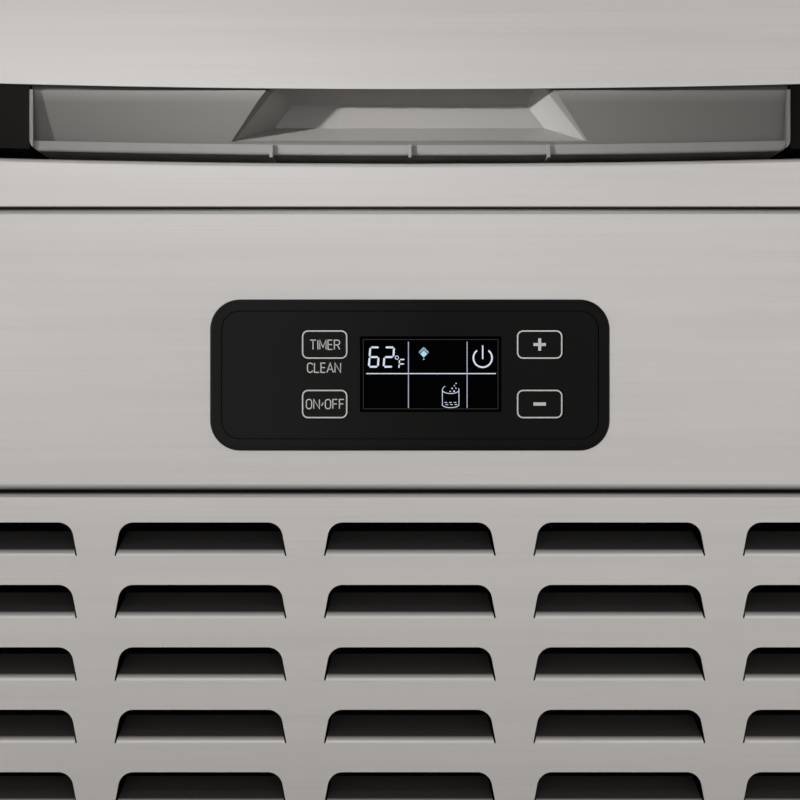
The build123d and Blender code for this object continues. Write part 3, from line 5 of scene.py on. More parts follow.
import bmesh
import bpy
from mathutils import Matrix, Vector


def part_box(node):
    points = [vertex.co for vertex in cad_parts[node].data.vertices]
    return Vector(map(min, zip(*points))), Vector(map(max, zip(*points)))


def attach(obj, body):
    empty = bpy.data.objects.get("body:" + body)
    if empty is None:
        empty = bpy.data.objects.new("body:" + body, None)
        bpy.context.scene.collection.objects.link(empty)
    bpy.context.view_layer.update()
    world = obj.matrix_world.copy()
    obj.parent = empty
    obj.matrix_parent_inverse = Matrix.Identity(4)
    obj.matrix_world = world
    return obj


MM = 0.001
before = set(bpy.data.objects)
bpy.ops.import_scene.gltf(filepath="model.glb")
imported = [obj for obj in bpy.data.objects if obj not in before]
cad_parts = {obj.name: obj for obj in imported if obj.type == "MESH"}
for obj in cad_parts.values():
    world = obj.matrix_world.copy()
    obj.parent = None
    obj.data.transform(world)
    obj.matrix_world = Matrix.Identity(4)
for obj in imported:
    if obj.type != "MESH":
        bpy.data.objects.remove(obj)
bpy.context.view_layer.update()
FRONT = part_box("control_panel")[0].y


# ---- materials ----------------------------------------------------------------------------------
COLOUR_A, COLOUR_B, COLOUR_OUT = 6, 7, 2  # the Mix node's colour sockets


class Look:
    """A node material built round one Principled shader. Textures use the object's own metres."""

    def __init__(self, name, **settings):
        self.material = bpy.data.materials.new(name)
        self.material.use_nodes = True
        self.tree = self.material.node_tree
        self.shader = self.tree.nodes["Principled BSDF"]
        for socket, value in settings.items():
            self.shader.inputs[socket.replace("_", " ")].default_value = value
        self.place = self.add("ShaderNodeTexCoord").outputs["Object"]

    def add(self, kind, **inputs):
        node = self.tree.nodes.new(kind)
        for name, value in inputs.items():
            self.feed(node.inputs[name.replace("_", " ")], value)
        return node

    def feed(self, socket, value):
        if isinstance(value, bpy.types.NodeSocket):
            self.tree.links.new(value, socket)
        else:
            socket.default_value = value

    def at(self, scale):
        """The place scaled along each axis, so that a texture can be stretched into grain."""
        return self.add("ShaderNodeMapping", Vector=self.place, Scale=scale).outputs["Vector"]

    def noise(self, scale, detail=3.0, roughness=0.5, distortion=0.0):
        size = scale if isinstance(scale, tuple) else (scale, scale, scale)
        node = self.add("ShaderNodeTexNoise", Vector=self.at(size), Scale=1.0, Detail=detail,
                        Roughness=roughness, Distortion=distortion)
        return node.outputs["Fac"]

    def along(self, axis, start, end, low, high):
        """Runs from low to high between two places on one axis, in metres."""
        split = self.add("ShaderNodeSeparateXYZ", Vector=self.place)
        return self.spread(split.outputs[axis], low, high, start, end)

    def depth(self, start, end, low, high):
        """Runs from low to high between two depths, in metres behind the front panels' face."""
        return self.along("Y", FRONT + start, FRONT + end, low, high)

    def sum(self, first, second):
        node = self.add("ShaderNodeMath")
        self.feed(node.inputs[0], first)
        self.feed(node.inputs[1], second)
        return node.outputs[0]

    def cells(self, scale):
        return self.add("ShaderNodeTexVoronoi", Vector=self.at((scale, scale, scale)), Scale=1.0)

    def spread(self, value, low, high, start=0.3, end=0.7):
        """value between start and end becomes low to high."""
        node = self.add("ShaderNodeMapRange", Value=value)
        for name, number in (("From Min", start), ("From Max", end), ("To Min", low), ("To Max", high)):
            node.inputs[name].default_value = number
        return node.outputs["Result"]

    def blend(self, factor, first, second):
        """first where factor is 0, second where it is 1; each is a colour or a socket."""
        node = self.add("ShaderNodeMix")
        node.data_type = "RGBA"
        self.feed(node.inputs["Factor"], factor)
        for index, colour in ((COLOUR_A, first), (COLOUR_B, second)):
            linked = isinstance(colour, bpy.types.NodeSocket)
            self.feed(node.inputs[index], colour if linked else (*colour, 1.0))
        return node.outputs[COLOUR_OUT]

    def colour(self, value):
        self.feed(self.shader.inputs["Base Color"], value)

    def rough(self, value):
        self.feed(self.shader.inputs["Roughness"], value)

    def bump(self, height, strength, distance, under=None):
        node = self.add("ShaderNodeBump", Height=height, Strength=strength, Distance=distance)
        if under is not None:
            self.feed(node.inputs["Normal"], under)
        self.feed(self.shader.inputs["Normal"], node.outputs["Normal"])
        return node.outputs["Normal"]


BEND_SHADE_DEPTHS = (0.00002, 0.0012)  # metres behind the front face, over which a bend is painted dark as shade
GRAIN = {"X": (9.0, 2600.0, 2600.0), "Y": (2600.0, 9.0, 2600.0), "Z": (2600.0, 2600.0, 9.0)}
STREAK = {"X": (3.0, 160.0, 160.0), "Y": (160.0, 3.0, 160.0), "Z": (160.0, 160.0, 3.0)}


def brushed_steel(name, along, light=(0.645, 0.621, 0.606), dark=(0.61, 0.586, 0.571), smooth=0.27, smear=0.5,
                  bend_shade=0.0):
    """Stainless sheet with its fine grain along one axis, faint longer streaks and a little handling haze.

    The last argument is how far its bent edges and the louvres' tongues are painted dark as shade, by depth
    behind the front face.
    """
    look = Look(name, Metallic=1.0)
    grain = look.noise(GRAIN[along], detail=4.0, roughness=0.65)
    streak = look.noise(STREAK[along], detail=3.0)
    haze = look.noise(7.0, detail=4.0, distortion=0.6)
    tone = look.blend(look.spread(streak, 0.0, 1.0), dark, light)
    tone = look.blend(look.spread(grain, 0.0, 0.35), tone, tuple(c * 0.86 for c in dark))
    spotted = look.spread(haze, smooth, smooth + 0.06, 0.35, 0.75)
    roughness = look.sum(look.spread(grain, 0.0, 0.12), spotted)
    # painted shade: bends and tongues go near black, less metallic and rougher with depth behind the front face
    if bend_shade:
        tone = look.blend(look.depth(*BEND_SHADE_DEPTHS, 0.0, bend_shade), tone, (0.012, 0.0105, 0.0095))
        look.feed(look.shader.inputs["Metallic"], look.depth(0.0004, 0.0014, 1.0, 0.35))
        roughness = look.sum(roughness, look.depth(*BEND_SHADE_DEPTHS, 0.0, 0.35))
    look.colour(tone)
    look.rough(roughness)
    under = look.bump(grain, 0.10 * smear, 0.00004)
    look.bump(streak, 0.05 * smear, 0.0003, under)
    return look.material


def galvanised():
    look = Look("galvanised_sheet", Metallic=1.0)
    spangle = look.cells(130.0)
    tint = look.spread(spangle.outputs["Color"], 0.0, 1.0, 0.0, 1.0)
    look.colour(look.blend(tint, (0.50, 0.51, 0.52), (0.62, 0.64, 0.65)))
    look.rough(look.spread(look.noise(60.0, 4.0), 0.38, 0.58))
    look.bump(look.noise(900.0, 3.0), 0.08, 0.0001)
    return look.material


def bright_metal(name, light, dark, smooth, rough, scale=220.0):
    """Plain machined or plated metal with a mottled polish."""
    look = Look(name, Metallic=1.0)
    mottle = look.noise(scale, 4.0, distortion=0.3)
    look.colour(look.blend(look.spread(mottle, 0.0, 1.0), dark, light))
    look.rough(look.spread(look.noise(scale * 4, 3.0), smooth, rough))
    look.bump(look.noise(scale * 9, 2.0), 0.06, 0.0001)
    return look.material


PLATED_DEPTHS = (0.10, 0.11)  # metres behind the front face, between the two kinds of screw


def screw_steel():
    """The front panels' screws are painted black as shade, so they stay dark inside the louvre openings; the
    back's are zinc plated.
    """
    look = Look("screw_steel", Metallic=1.0)
    mottle = look.spread(look.noise(220.0, 4.0, distortion=0.3), 0.0, 1.0)
    zinc = look.blend(mottle, (0.50, 0.50, 0.49), (0.72, 0.72, 0.70))
    # painted shade: the front screws near black, the back's zinc
    look.colour(look.blend(look.depth(*PLATED_DEPTHS, 0.0, 1.0), (0.004, 0.0035, 0.003), zinc))
    look.rough(look.depth(*PLATED_DEPTHS, 0.75, 0.3))
    look.bump(look.noise(1980.0, 2.0), 0.06, 0.0001)
    return look.material


def copper():
    look = Look("copper_tube", Metallic=1.0)
    tarnish = look.spread(look.noise(38.0, 5.0, 0.6, 0.8), 0.0, 1.0, 0.42, 0.72)
    look.colour(look.blend(tarnish, (0.86, 0.43, 0.27), (0.42, 0.19, 0.10)))
    look.rough(look.spread(tarnish, 0.22, 0.5, 0.0, 1.0))
    look.bump(look.noise(500.0, 3.0), 0.08, 0.0001)
    return look.material


def moulded(name, base, smooth=0.42, rough=0.56, grain=1500.0, depth=0.00005, specular=0.5, tone=0.12):
    """Injection-moulded plastic: spark-eroded texture, slight flow variation in colour, smoother where worn."""
    look = Look(name)
    look.shader.inputs["Specular IOR Level"].default_value = specular
    flow = look.noise(14.0, 4.0, distortion=0.7)
    look.colour(look.blend(look.spread(flow, 0.0, 1.0), tuple(c * (1 - tone) for c in base),
                           tuple(c * (1 + tone) for c in base)))
    look.rough(look.spread(look.noise(46.0, 4.0), smooth, rough))
    look.bump(look.noise(grain, 2.0), 0.25, depth)
    return look.material


def display_plastic(name, smooth, rough, grain, depth):
    """Fine-textured black moulding, with a painted reflection: a lighter grey towards its left end."""
    look = Look(name)
    look.shader.inputs["Specular IOR Level"].default_value = 0.08
    flow = look.spread(look.noise(14.0, 4.0, distortion=0.7), 0.0, 1.0)
    tone = look.blend(flow, (0.0044, 0.0042, 0.0040), (0.0056, 0.0054, 0.0052))
    # painted reflection: the moulding is lighter grey towards its left end
    painted_reflection = look.along("X", -0.055, 0.015, 1.0, 0.0)
    look.colour(look.blend(painted_reflection, tone, (0.0135, 0.0132, 0.0130)))
    look.rough(look.spread(look.noise(46.0, 4.0), smooth, rough))
    look.bump(look.noise(grain, 2.0), 0.25, depth)
    return look.material


SUNK_DEPTHS = (0.0012, 0.0018)  # metres behind the front face, between the grip's lip and its sunk face
SCOOP_DEPTHS = (0.0039, 0.0044)  # and between the sunk face and the scoop for the fingers


def grip():
    """Satin grey moulding in three greys by depth: its lip, the sunk face above painted darker as shade, and
    the scoop set back to about the lip's grey.
    """
    look = Look("grip_plastic")
    look.shader.inputs["Specular IOR Level"].default_value = 0.4
    flow = look.spread(look.noise(14.0, 4.0, distortion=0.7), 0.0, 1.0)
    tone = look.blend(flow, (0.160, 0.154, 0.148), (0.182, 0.175, 0.168))
    # painted shade: the sunk face above the lip is darker; the scoop behind it is set back to a lip grey
    painted_sunk_shade = look.depth(*SUNK_DEPTHS, 0.0, 1.0)
    scooped = look.depth(*SCOOP_DEPTHS, 0.0, 1.0)
    tone = look.blend(painted_sunk_shade, tone, (0.098, 0.094, 0.088))
    look.colour(look.blend(scooped, tone, (0.180, 0.173, 0.164)))
    look.rough(look.spread(look.noise(46.0, 4.0), 0.36, 0.46))
    look.bump(look.noise(1300.0, 2.0), 0.25, 0.00005)
    return look.material


def foam():
    look = Look("polyurethane_foam", Roughness=0.92)
    look.shader.inputs["Specular IOR Level"].default_value = 0.2
    age = look.noise(9.0, 4.0)
    look.colour(look.blend(look.spread(age, 0.0, 1.0), (0.80, 0.70, 0.42), (0.90, 0.84, 0.62)))
    bubbles = look.cells(420.0)
    under = look.bump(bubbles.outputs["Distance"], 0.5, 0.0008)
    look.bump(look.noise(40.0, 5.0), 0.4, 0.002, under)
    return look.material


def woven_screen():
    """Black nylon mesh: crossed threads, a little dust in them. Its black is painted shade behind the louvre
    openings.
    """
    look = Look("woven_screen", Roughness=0.8)
    look.shader.inputs["Specular IOR Level"].default_value = 0.1
    dust = look.spread(look.noise(18.0, 5.0, 0.6), 0.0, 1.0, 0.45, 0.8)
    look.colour(look.blend(dust, (0.0013, 0.0010, 0.0008), (0.0030, 0.0026, 0.0022)))
    under = None
    for axis in ((700.0, 0.0, 0.0), (0.0, 0.0, 700.0)):
        threads = look.add("ShaderNodeTexWave", Vector=look.at(axis), Scale=1.0)
        threads.bands_direction = "DIAGONAL"
        under = look.bump(threads.outputs["Fac"], 0.6, 0.0003, under)
    return look.material


def rubber():
    look = Look("black_rubber")
    look.shader.inputs["Specular IOR Level"].default_value = 0.25
    bloom = look.noise(30.0, 5.0, distortion=0.5)
    look.colour(look.blend(look.spread(bloom, 0.0, 1.0), (0.022, 0.022, 0.022), (0.05, 0.05, 0.048)))
    look.rough(look.spread(bloom, 0.55, 0.78))
    look.bump(look.noise(1100.0, 3.0), 0.2, 0.0001)
    return look.material


def circuit_board():
    look = Look("circuit_board", Roughness=0.35)
    tracks = look.add("ShaderNodeTexBrick", Vector=look.at((1.0, 1.0, 1.0)), Scale=240.0)
    tracks.inputs["Color1"].default_value = (0.006, 0.10, 0.035, 1)
    tracks.inputs["Color2"].default_value = (0.01, 0.14, 0.05, 1)
    tracks.inputs["Mortar"].default_value = (0.02, 0.22, 0.09, 1)
    look.colour(tracks.outputs["Color"])
    look.bump(tracks.outputs["Fac"], 0.2, 0.0001)
    return look.material


def clear_plastic():
    look = Look("clear_curtain", Roughness=0.12, IOR=1.49)
    look.shader.inputs["Transmission Weight"].default_value = 0.75
    scale_marks = look.spread(look.noise((14.0, 14.0, 3.0), 5.0, distortion=1.0), 0.0, 1.0, 0.5, 0.8)
    look.colour(look.blend(scale_marks, (0.80, 0.88, 0.90), (0.93, 0.95, 0.95)))
    look.rough(look.spread(scale_marks, 0.08, 0.4, 0.0, 1.0))
    look.bump(look.noise(120.0, 3.0), 0.05, 0.0003)
    return look.material


def enamel(name, base, gloss=0.25):
    """Sprayed paint with faint orange peel and dust."""
    look = Look(name)
    dust = look.spread(look.noise(22.0, 6.0, 0.65), 0.0, 1.0, 0.45, 0.8)
    look.colour(look.blend(dust, base, tuple(c * 0.7 + 0.05 for c in base)))
    look.rough(look.spread(dust, gloss, gloss + 0.3, 0.0, 1.0))
    look.bump(look.noise(420.0, 2.0), 0.08, 0.0003)
    return look.material


def glow(name, colour):
    """Lit liquid crystal, slightly uneven along each stroke."""
    look = Look(name, Roughness=0.5)
    look.shader.inputs["Base Color"].default_value = (0.01, 0.01, 0.01, 1)
    uneven = look.spread(look.noise(700.0, 2.0), 0.0, 1.0)
    look.feed(look.shader.inputs["Emission Color"],
              look.blend(uneven, tuple(c * 0.86 for c in colour), colour))
    look.shader.inputs["Emission Strength"].default_value = 1.0
    return look.material


def ink(name, base):
    look = Look(name, Roughness=0.6)
    look.shader.inputs["Specular IOR Level"].default_value = 0.2
    speckle = look.noise(2600.0, 2.0)
    look.colour(look.blend(look.spread(speckle, 0.0, 1.0), tuple(c * 0.88 for c in base), base))
    return look.material


steel_x = brushed_steel("stainless_front", "X", bend_shade=0.97)
steel_rail = brushed_steel("stainless_rail", "X", bend_shade=0.6)
steel_side = brushed_steel("stainless_side", "Z", smear=0.8)
steel_top = brushed_steel("stainless_top", "X", smear=0.8)
white_plastic = moulded("food_grade_plastic", (0.80, 0.81, 0.80), 0.30, 0.44, 700.0, tone=0.03)
black_plastic = moulded("black_plastic", (0.016, 0.016, 0.016), 0.45, 0.6, specular=0.35)
dark_plastic = moulded("dark_plastic", (0.0035, 0.003, 0.0025), 0.5, 0.65, specular=0.08)
bezel_plastic = display_plastic("bezel_plastic", 0.34, 0.42, 2200.0, 0.00002)
overlay_film = display_plastic("overlay_film", 0.30, 0.40, 2600.0, 0.00001)
grip_plastic = grip()
lcd_glass = moulded("lcd_glass", (0.0004, 0.0003, 0.0005), 0.12, 0.18, 300.0, 0.000002, specular=0.008)
key_ink = ink("key_ink", (0.76, 0.755, 0.75))
lcd_white = glow("lcd_white", (0.72, 0.80, 0.95))
lcd_line = glow("lcd_line", (0.36, 0.41, 0.54))
lcd_frame = glow("lcd_frame", (0.016, 0.014, 0.016))
lcd_cyan = glow("lcd_cyan", (0.40, 0.72, 0.86))

LOOKS = {
    steel_x: ("front_header", "control_panel", "louver_panel", "door_skin"),
    steel_rail: ("door_sill_rail",),
    steel_side: ("left_side_panel", "right_side_panel"),
    steel_top: ("top_cover",),
    galvanised(): ("base_pan", "rear_panel", "compartment_deck", "hinge_brackets"),
    screw_steel(): ("panel_screws",),
    foam(): ("foam_insulation", "door_foam"),
    white_plastic: ("bin_liner", "door_liner", "water_trough", "ice_chute", "evaporator_bracket",
                    "water_distributor", "pump_rotor", "water_inlet_valve"),
    dark_plastic: ("door_frame",),
    woven_screen(): ("air_filter",),
    black_plastic: ("bin_drain", "fan_shroud", "electrical_box", "power_inlet",
                    "circulation_pump", "fan_blade", "foot_front_left", "foot_front_right",
                    "foot_rear_left", "foot_rear_right"),
    bezel_plastic: ("display_bezel",),
    overlay_film: ("display_overlay", "key_timer", "key_on_off", "key_plus", "key_minus"),
    lcd_glass: ("lcd_module",),
    grip_plastic: ("door_grip",),
    rubber(): ("door_gasket", "compressor_grommets", "pump_hose", "water_fill_hose"),
    circuit_board(): ("control_board",),
    bright_metal("tinned_copper", (0.80, 0.80, 0.77), (0.62, 0.62, 0.60), 0.22, 0.42): ("evaporator_grid",),
    copper(): ("evaporator_coil", "liquid_line", "suction_line",
               "discharge_line", "hot_gas_line"),
    bright_metal("valve_brass", (0.80, 0.62, 0.30), (0.55, 0.38, 0.16), 0.25, 0.45): ("hot_gas_valve",),
    clear_plastic(): ("water_curtain",),
    enamel("compressor_enamel", (0.012, 0.012, 0.013)): ("compressor",),
    # the condenser's near-black coat is painted shade, to keep the louvre openings dark
    enamel("condenser_coating", (0.010, 0.010, 0.010), 0.5): ("condenser_fins", "condenser_tube"),
    enamel("motor_enamel", (0.20, 0.21, 0.22), 0.35): ("fan_motor",),
}
for material, names in LOOKS.items():
    for name in names:
        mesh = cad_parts[name].data
        mesh.materials.clear()
        mesh.materials.append(material)


# ---- flat shapes, drawn in x and z on a front face ------------------------------------------------
def arc(x, z, radius, start, end, steps=12, squash=1.0):
    """Points on an arc, in degrees from +x towards +z."""
    turns = [math.radians(start + (end - start) * i / steps) for i in range(steps + 1)]
    return [(x + radius * math.cos(t), z + radius * squash * math.sin(t)) for t in turns]


def offset_point(before, here, after, reach):
    """The point beside here, reach to the left of the line that runs before, here, after."""
    first = Vector((here[0] - before[0], here[1] - before[1])) if before else None
    second = Vector((after[0] - here[0], after[1] - here[1])) if after else None
    first = (first or second).normalized()
    second = (second or first).normalized()
    normal = Vector((-first.y - second.y, first.x + second.x))
    if normal.length < 1e-6:
        normal = Vector((-first.y, first.x))
    normal.normalize()
    stretch = min(2.0, 1 / max(0.3, normal.dot(Vector((-first.y, first.x)))))
    return (here[0] + normal.x * reach * stretch, here[1] + normal.y * reach * stretch)


def side_line(points, reach, closed):
    count = len(points)
    if closed:
        return [offset_point(points[i - 1], points[i], points[(i + 1) % count], reach) for i in range(count)]
    return [offset_point(points[i - 1] if i else None, points[i],
                         points[i + 1] if i + 1 < count else None, reach) for i in range(count)]


class Marking:
    """Thin raised shapes on one front face, gathered into one mesh. Sizes are in millimetres."""

    def __init__(self, name, y, body, material, thickness=0.04):
        self.name, self.body, self.material = name, body, material
        self.front, self.back = (y - thickness) * MM, (y + 0.02) * MM
        self.mesh = bmesh.new()

    def loop(self, points):
        front = [self.mesh.verts.new((x * MM, self.front, z * MM)) for x, z in points]
        back = [self.mesh.verts.new((x * MM, self.back, z * MM)) for x, z in points]
        return front, back

    def fill(self, points):
        """A filled outline, drawn anticlockwise."""
        front, back = self.loop(points)
        self.mesh.faces.new(front)
        self.mesh.faces.new(back[::-1])
        for i in range(len(points)):
            self.mesh.faces.new((front[i - 1], back[i - 1], back[i], front[i]))

    def stroke(self, points, width, closed=False):
        """A line of one width with square ends, or a closed ring."""
        left_front, left_back = self.loop(side_line(points, width / 2, closed))
        right_front, right_back = self.loop(side_line(points, -width / 2, closed))
        sides = ((left_front, right_front), (right_back, left_back),
                 (left_back, left_front), (right_front, right_back))
        for i in range(0 if closed else 1, len(points)):
            for near, far in sides:
                self.mesh.faces.new((near[i - 1], near[i], far[i], far[i - 1]))
        if not closed:
            for i in (0, len(points) - 1):
                self.mesh.faces.new((left_front[i], left_back[i], right_back[i], right_front[i]))

    def finish(self):
        bmesh.ops.recalc_face_normals(self.mesh, faces=self.mesh.faces)
        mesh = bpy.data.meshes.new(self.name)
        self.mesh.to_mesh(mesh)
        self.mesh.free()
        mesh.materials.append(self.material)
        piece = bpy.data.objects.new(self.name, mesh)
        bpy.context.scene.collection.objects.link(piece)
        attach(piece, self.body)
        return piece


def rounded_box(x, z, half_x, half_z, corner):
    points = []
    for sx, sz, start in ((1, 1, 0), (-1, 1, 90), (-1, -1, 180), (1, -1, 270)):
        points += arc(x + sx * (half_x - corner), z + sz * (half_z - corner), corner, start, start + 90, 7)
    return points


# ---- lettering: capitals on a unit height ---------------------------------------------------------
def bowl(width):
    return arc(width / 2, 1 - width / 2, width / 2, 0, 180) + arc(width / 2, width / 2, width / 2, 180, 360)


CAPITALS = {
    "T": (0.56, lambda w: [[(0, 1), (w, 1)], [(w / 2, 1), (w / 2, 0)]]),
    "I": (0.0, lambda w: [[(0, 0), (0, 1)]]),
    "M": (0.60, lambda w: [[(0, 0), (0, 1), (w / 2, 0.22), (w, 1), (w, 0)]]),
    "E": (0.42, lambda w: [[(w, 1), (0, 1), (0, 0), (w, 0)], [(0, 0.52), (w * 0.92, 0.52)]]),
    "R": (0.52, lambda w: [[(0, 0), (0, 1), (w - 0.26, 1)] + arc(w - 0.26, 0.74, 0.26, 78, -78, 8)
                           + [(w - 0.26, 0.48), (0, 0.48)], [(w * 0.55, 0.48), (w, 0)]]),
    "C": (0.50, lambda w: [arc(w / 2, 1 - w / 2, w / 2, 12, 180) + arc(w / 2, w / 2, w / 2, 180, 348)]),
    "L": (0.46, lambda w: [[(0, 1), (0, 0), (w, 0)]]),
    "A": (0.60, lambda w: [[(0, 0), (w / 2, 1), (w, 0)], [(w * 0.17, 0.33), (w * 0.83, 0.33)]]),
    "N": (0.54, lambda w: [[(0, 0), (0, 1), (w, 0), (w, 1)]]),
    "O": (0.51, lambda w: [bowl(w)]),
    "F": (0.43, lambda w: [[(0, 0), (0, 1), (w, 1)], [(0, 0.52), (w * 0.88, 0.52)]]),
    "/": (0.16, lambda w: [[(0, 0.32), (w, 0.66)]]),
}


def lettering(marking, word, left, right, base, height, weight):
    """A word in plain strokes between left and right, standing on base."""
    weight_unit = weight / height
    bodies = [CAPITALS[c][0] for c in word]
    natural = sum(bodies) + weight_unit
    gap = ((right - left) / height - natural) / (len(word) - 1)
    x = weight_unit / 2
    tall = height - weight
    for letter, body in zip(word, bodies):
        for line in CAPITALS[letter][1](body):
            placed = [(left + (x + px) * height, base + weight / 2 + pz * tall) for px, pz in line]
            closed = letter == "O"
            marking.stroke(placed, weight, closed)
        x += body + gap


# ---- the control panel's markings -----------------------------------------------------------------
def centre_of(node):
    """A node's middle, lowest and highest corners, in millimetres."""
    low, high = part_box(node)
    return [(low[i] + high[i]) / 2 / MM for i in range(3)], [v / MM for v in low], [v / MM for v in high]


panel_z = centre_of("display_bezel")[0][2]
FRAME_INSET_X, FRAME_INSET_Z = 0.48, 0.50  # from the key's edges to the middle of its printed frame
FRAME_CORNER, FRAME_WEIGHT = 1.95, 0.50
RIGHT_KEYS_SHIFT = 0.2  # the right keys' print sits this far left of their middles


def key_marks(node, body, draw):
    """A rounded frame round a key, with its own sign or word inside."""
    (x, _, z), low, high = centre_of(node)
    if x > 0:
        x -= RIGHT_KEYS_SHIFT
    marking = Marking(node + "_print", low[1], body, key_ink)
    half_x, half_z = (high[0] - low[0]) / 2 - FRAME_INSET_X, (high[2] - low[2]) / 2 - FRAME_INSET_Z
    marking.stroke(rounded_box(x, z, half_x, half_z, FRAME_CORNER), FRAME_WEIGHT, closed=True)
    draw(marking, x, z)
    marking.finish()


LETTER_HEIGHT, LETTER_WEIGHT = 3.75, 0.38
key_marks("key_timer", "key_timer",
          lambda m, x, z: lettering(m, "TIMER", x - 5.45, x + 5.65, z - 1.95, LETTER_HEIGHT, LETTER_WEIGHT))
key_marks("key_on_off", "key_on_off",
          lambda m, x, z: lettering(m, "ON/OFF", x - 6.8, x + 7.15, z - 1.9, LETTER_HEIGHT, LETTER_WEIGHT))


SIGN_ARM = 2.25


def plus(marking, x, z):
    arm, half = SIGN_ARM, 0.54
    marking.fill([(x + a, z + b) for a, b in ((-arm, -half), (-half, -half), (-half, -arm), (half, -arm),
                                              (half, -half), (arm, -half), (arm, half), (half, half),
                                              (half, arm), (-half, arm), (-half, half), (-arm, half))])


def minus(marking, x, z):
    arm, half = SIGN_ARM, 0.6
    marking.fill([(x - arm, z - half), (x + arm, z - half), (x + arm, z + half), (x - arm, z + half)])


key_marks("key_plus", "key_plus", plus)
key_marks("key_minus", "key_minus", minus)

_, overlay_low, _ = centre_of("display_overlay")
clean = Marking("clean_print", overlay_low[1], "cabinet", key_ink)
lettering(clean, "CLEAN", -37.25, -24.9, panel_z + 0.75, LETTER_HEIGHT, LETTER_WEIGHT)
clean.finish()


# ---- the lit display ------------------------------------------------------------------------------
def segment(marking, x, z, length, thick, upright, lean):
    """One bar of a seven-segment figure, from its middle, with bevelled ends."""
    half, t = length / 2, thick / 2
    if upright:
        points = [(x - t, z - half + t), (x, z - half), (x + t, z - half + t),
                  (x + t, z + half - t), (x, z + half), (x - t, z + half - t)]
    else:
        points = [(x - half, z), (x - half + t, z - t), (x + half - t, z - t),
                  (x + half, z), (x + half - t, z + t), (x - half + t, z + t)]
    marking.fill([(px + (pz - lean[1]) * lean[0], pz) for px, pz in points])


FIGURES = {"6": "afgedc", "2": "abged", "F": "afge"}


def figure(marking, name, x, z, width, height, thick, slant=0.075):
    """A seven-segment figure whose lower left corner is (x, z)."""
    w, h, gap = width - thick, (height - thick) / 2, 0.26
    x, z, lean = x + thick / 2, z + thick / 2, (slant, z)
    places = {"a": (x + w / 2, z + 2 * h, w, False), "g": (x + w / 2, z + h, w, False),
              "d": (x + w / 2, z, w, False), "f": (x, z + 1.5 * h, h, True),
              "b": (x + w, z + 1.5 * h, h, True), "e": (x, z + h / 2, h, True),
              "c": (x + w, z + h / 2, h, True)}
    for letter in FIGURES[name]:
        px, pz, length, upright = places[letter]
        segment(marking, px, pz, length - gap, thick, upright, lean)


_, lcd_low, lcd_high = centre_of("lcd_module")
LCD_Y = lcd_low[1]
EYE_DROP = 9.05  # the figures' heights are given from the eye's level, this far below the bezel's middle


def lit(name, material, draw):
    marks = Marking(name, LCD_Y, "cabinet", material)
    draw(marks)
    marks.finish()


def draw_reading(m):
    base = panel_z + 11.6 - EYE_DROP
    figure(m, "6", -15.25, base + 0.1, 3.95, 7.7, 0.68)
    figure(m, "2", -9.9, base + 0.1, 3.95, 7.7, 0.68)
    figure(m, "F", -4.25, base - 0.4, 2.4, 3.7, 0.46)
    m.stroke(arc(-4.75, base + 3.75, 0.62, 0, 360 - 24, 14), 0.24, closed=True)


CROSS_Z = panel_z + 9.56 - EYE_DROP
LINE_GAP, DIVIDER_WEIGHT, CROSS_WEIGHT = 0.36, 0.33, 0.34


def draw_dividers(m):
    top, bottom = panel_z + 21.1 - EYE_DROP, panel_z - 2.9 - EYE_DROP
    for x in (-0.55, 20.7):
        m.stroke([(x, CROSS_Z + LINE_GAP), (x, top)], DIVIDER_WEIGHT)
        m.stroke([(x, bottom), (x, CROSS_Z - LINE_GAP)], DIVIDER_WEIGHT)


def draw_cross_line(m):
    m.stroke([(-15.8, CROSS_Z), (31.1, CROSS_Z)], CROSS_WEIGHT)


def draw_frame(m):
    middle_x, middle_z = (lcd_low[0] + lcd_high[0]) / 2, (lcd_low[2] + lcd_high[2]) / 2
    half_x, half_z = (lcd_high[0] - lcd_low[0]) / 2 - 1.1, (lcd_high[2] - lcd_low[2]) / 2 - 1.1
    m.stroke(rounded_box(middle_x, middle_z, half_x, half_z, 0.2), 0.16, closed=True)


def draw_ice_sign(m):
    x, z = 5.0, panel_z + 16.9 - EYE_DROP
    m.fill([(x, z - 1.5), (x + 1.28, z - 0.22), (x, z + 1.06), (x - 1.28, z - 0.22)])
    m.fill(arc(x, z - 2.1, 0.24, 0, 330, 11))
    for rise in (0.0, 0.5):
        m.stroke([(x - 1.7, z + 0.05 + rise), (x, z + 1.6 + rise), (x + 1.7, z + 0.05 + rise)], 0.2)


def draw_power_sign(m):
    x, z = 26.35, panel_z + 15.25 - EYE_DROP
    m.stroke(arc(x, z, 3.38, 128, 412, 28), 0.58)
    m.stroke([(x, z - 0.4), (x, z + 4.5)], 0.48)


def draw_glass_sign(m):
    x, z, half, line = 14.75, panel_z + 5.6 - EYE_DROP, 3.0, 0.22
    m.stroke([(x - half, z - 2.0), (x - half, z - 7.3)] + arc(x, z - 7.3, half, 180, 360, 14, 0.36)
             + [(x + half, z - 2.0)], line)
    m.stroke(arc(x, z - 2.0, half, 180, 360, 14, 0.42), line)
    m.stroke(arc(x, z - 2.0, half, 132, 180, 6, 0.62), line)
    m.stroke(arc(x, z - 2.0, half, 0, 20, 4, 0.62), line)
    for row, drop in enumerate((6.5, 7.25)):
        for number in range(3):
            left = x - 2.2 + number * 1.65 + row * 0.35
            m.stroke([(left, z - drop), (left + 0.95, z - drop)], line)
    for right, up, size in ((-0.2, -2.5, 0.30), (1.25, -2.4, 0.36), (0.5, -1.4, 0.34), (1.9, -1.3, 0.28),
                            (1.35, -0.45, 0.26), (1.95, 0.4, 0.28)):
        bx, bz = x + right, z + up
        m.fill([(bx, bz - size), (bx + size, bz), (bx, bz + size), (bx - size, bz)])


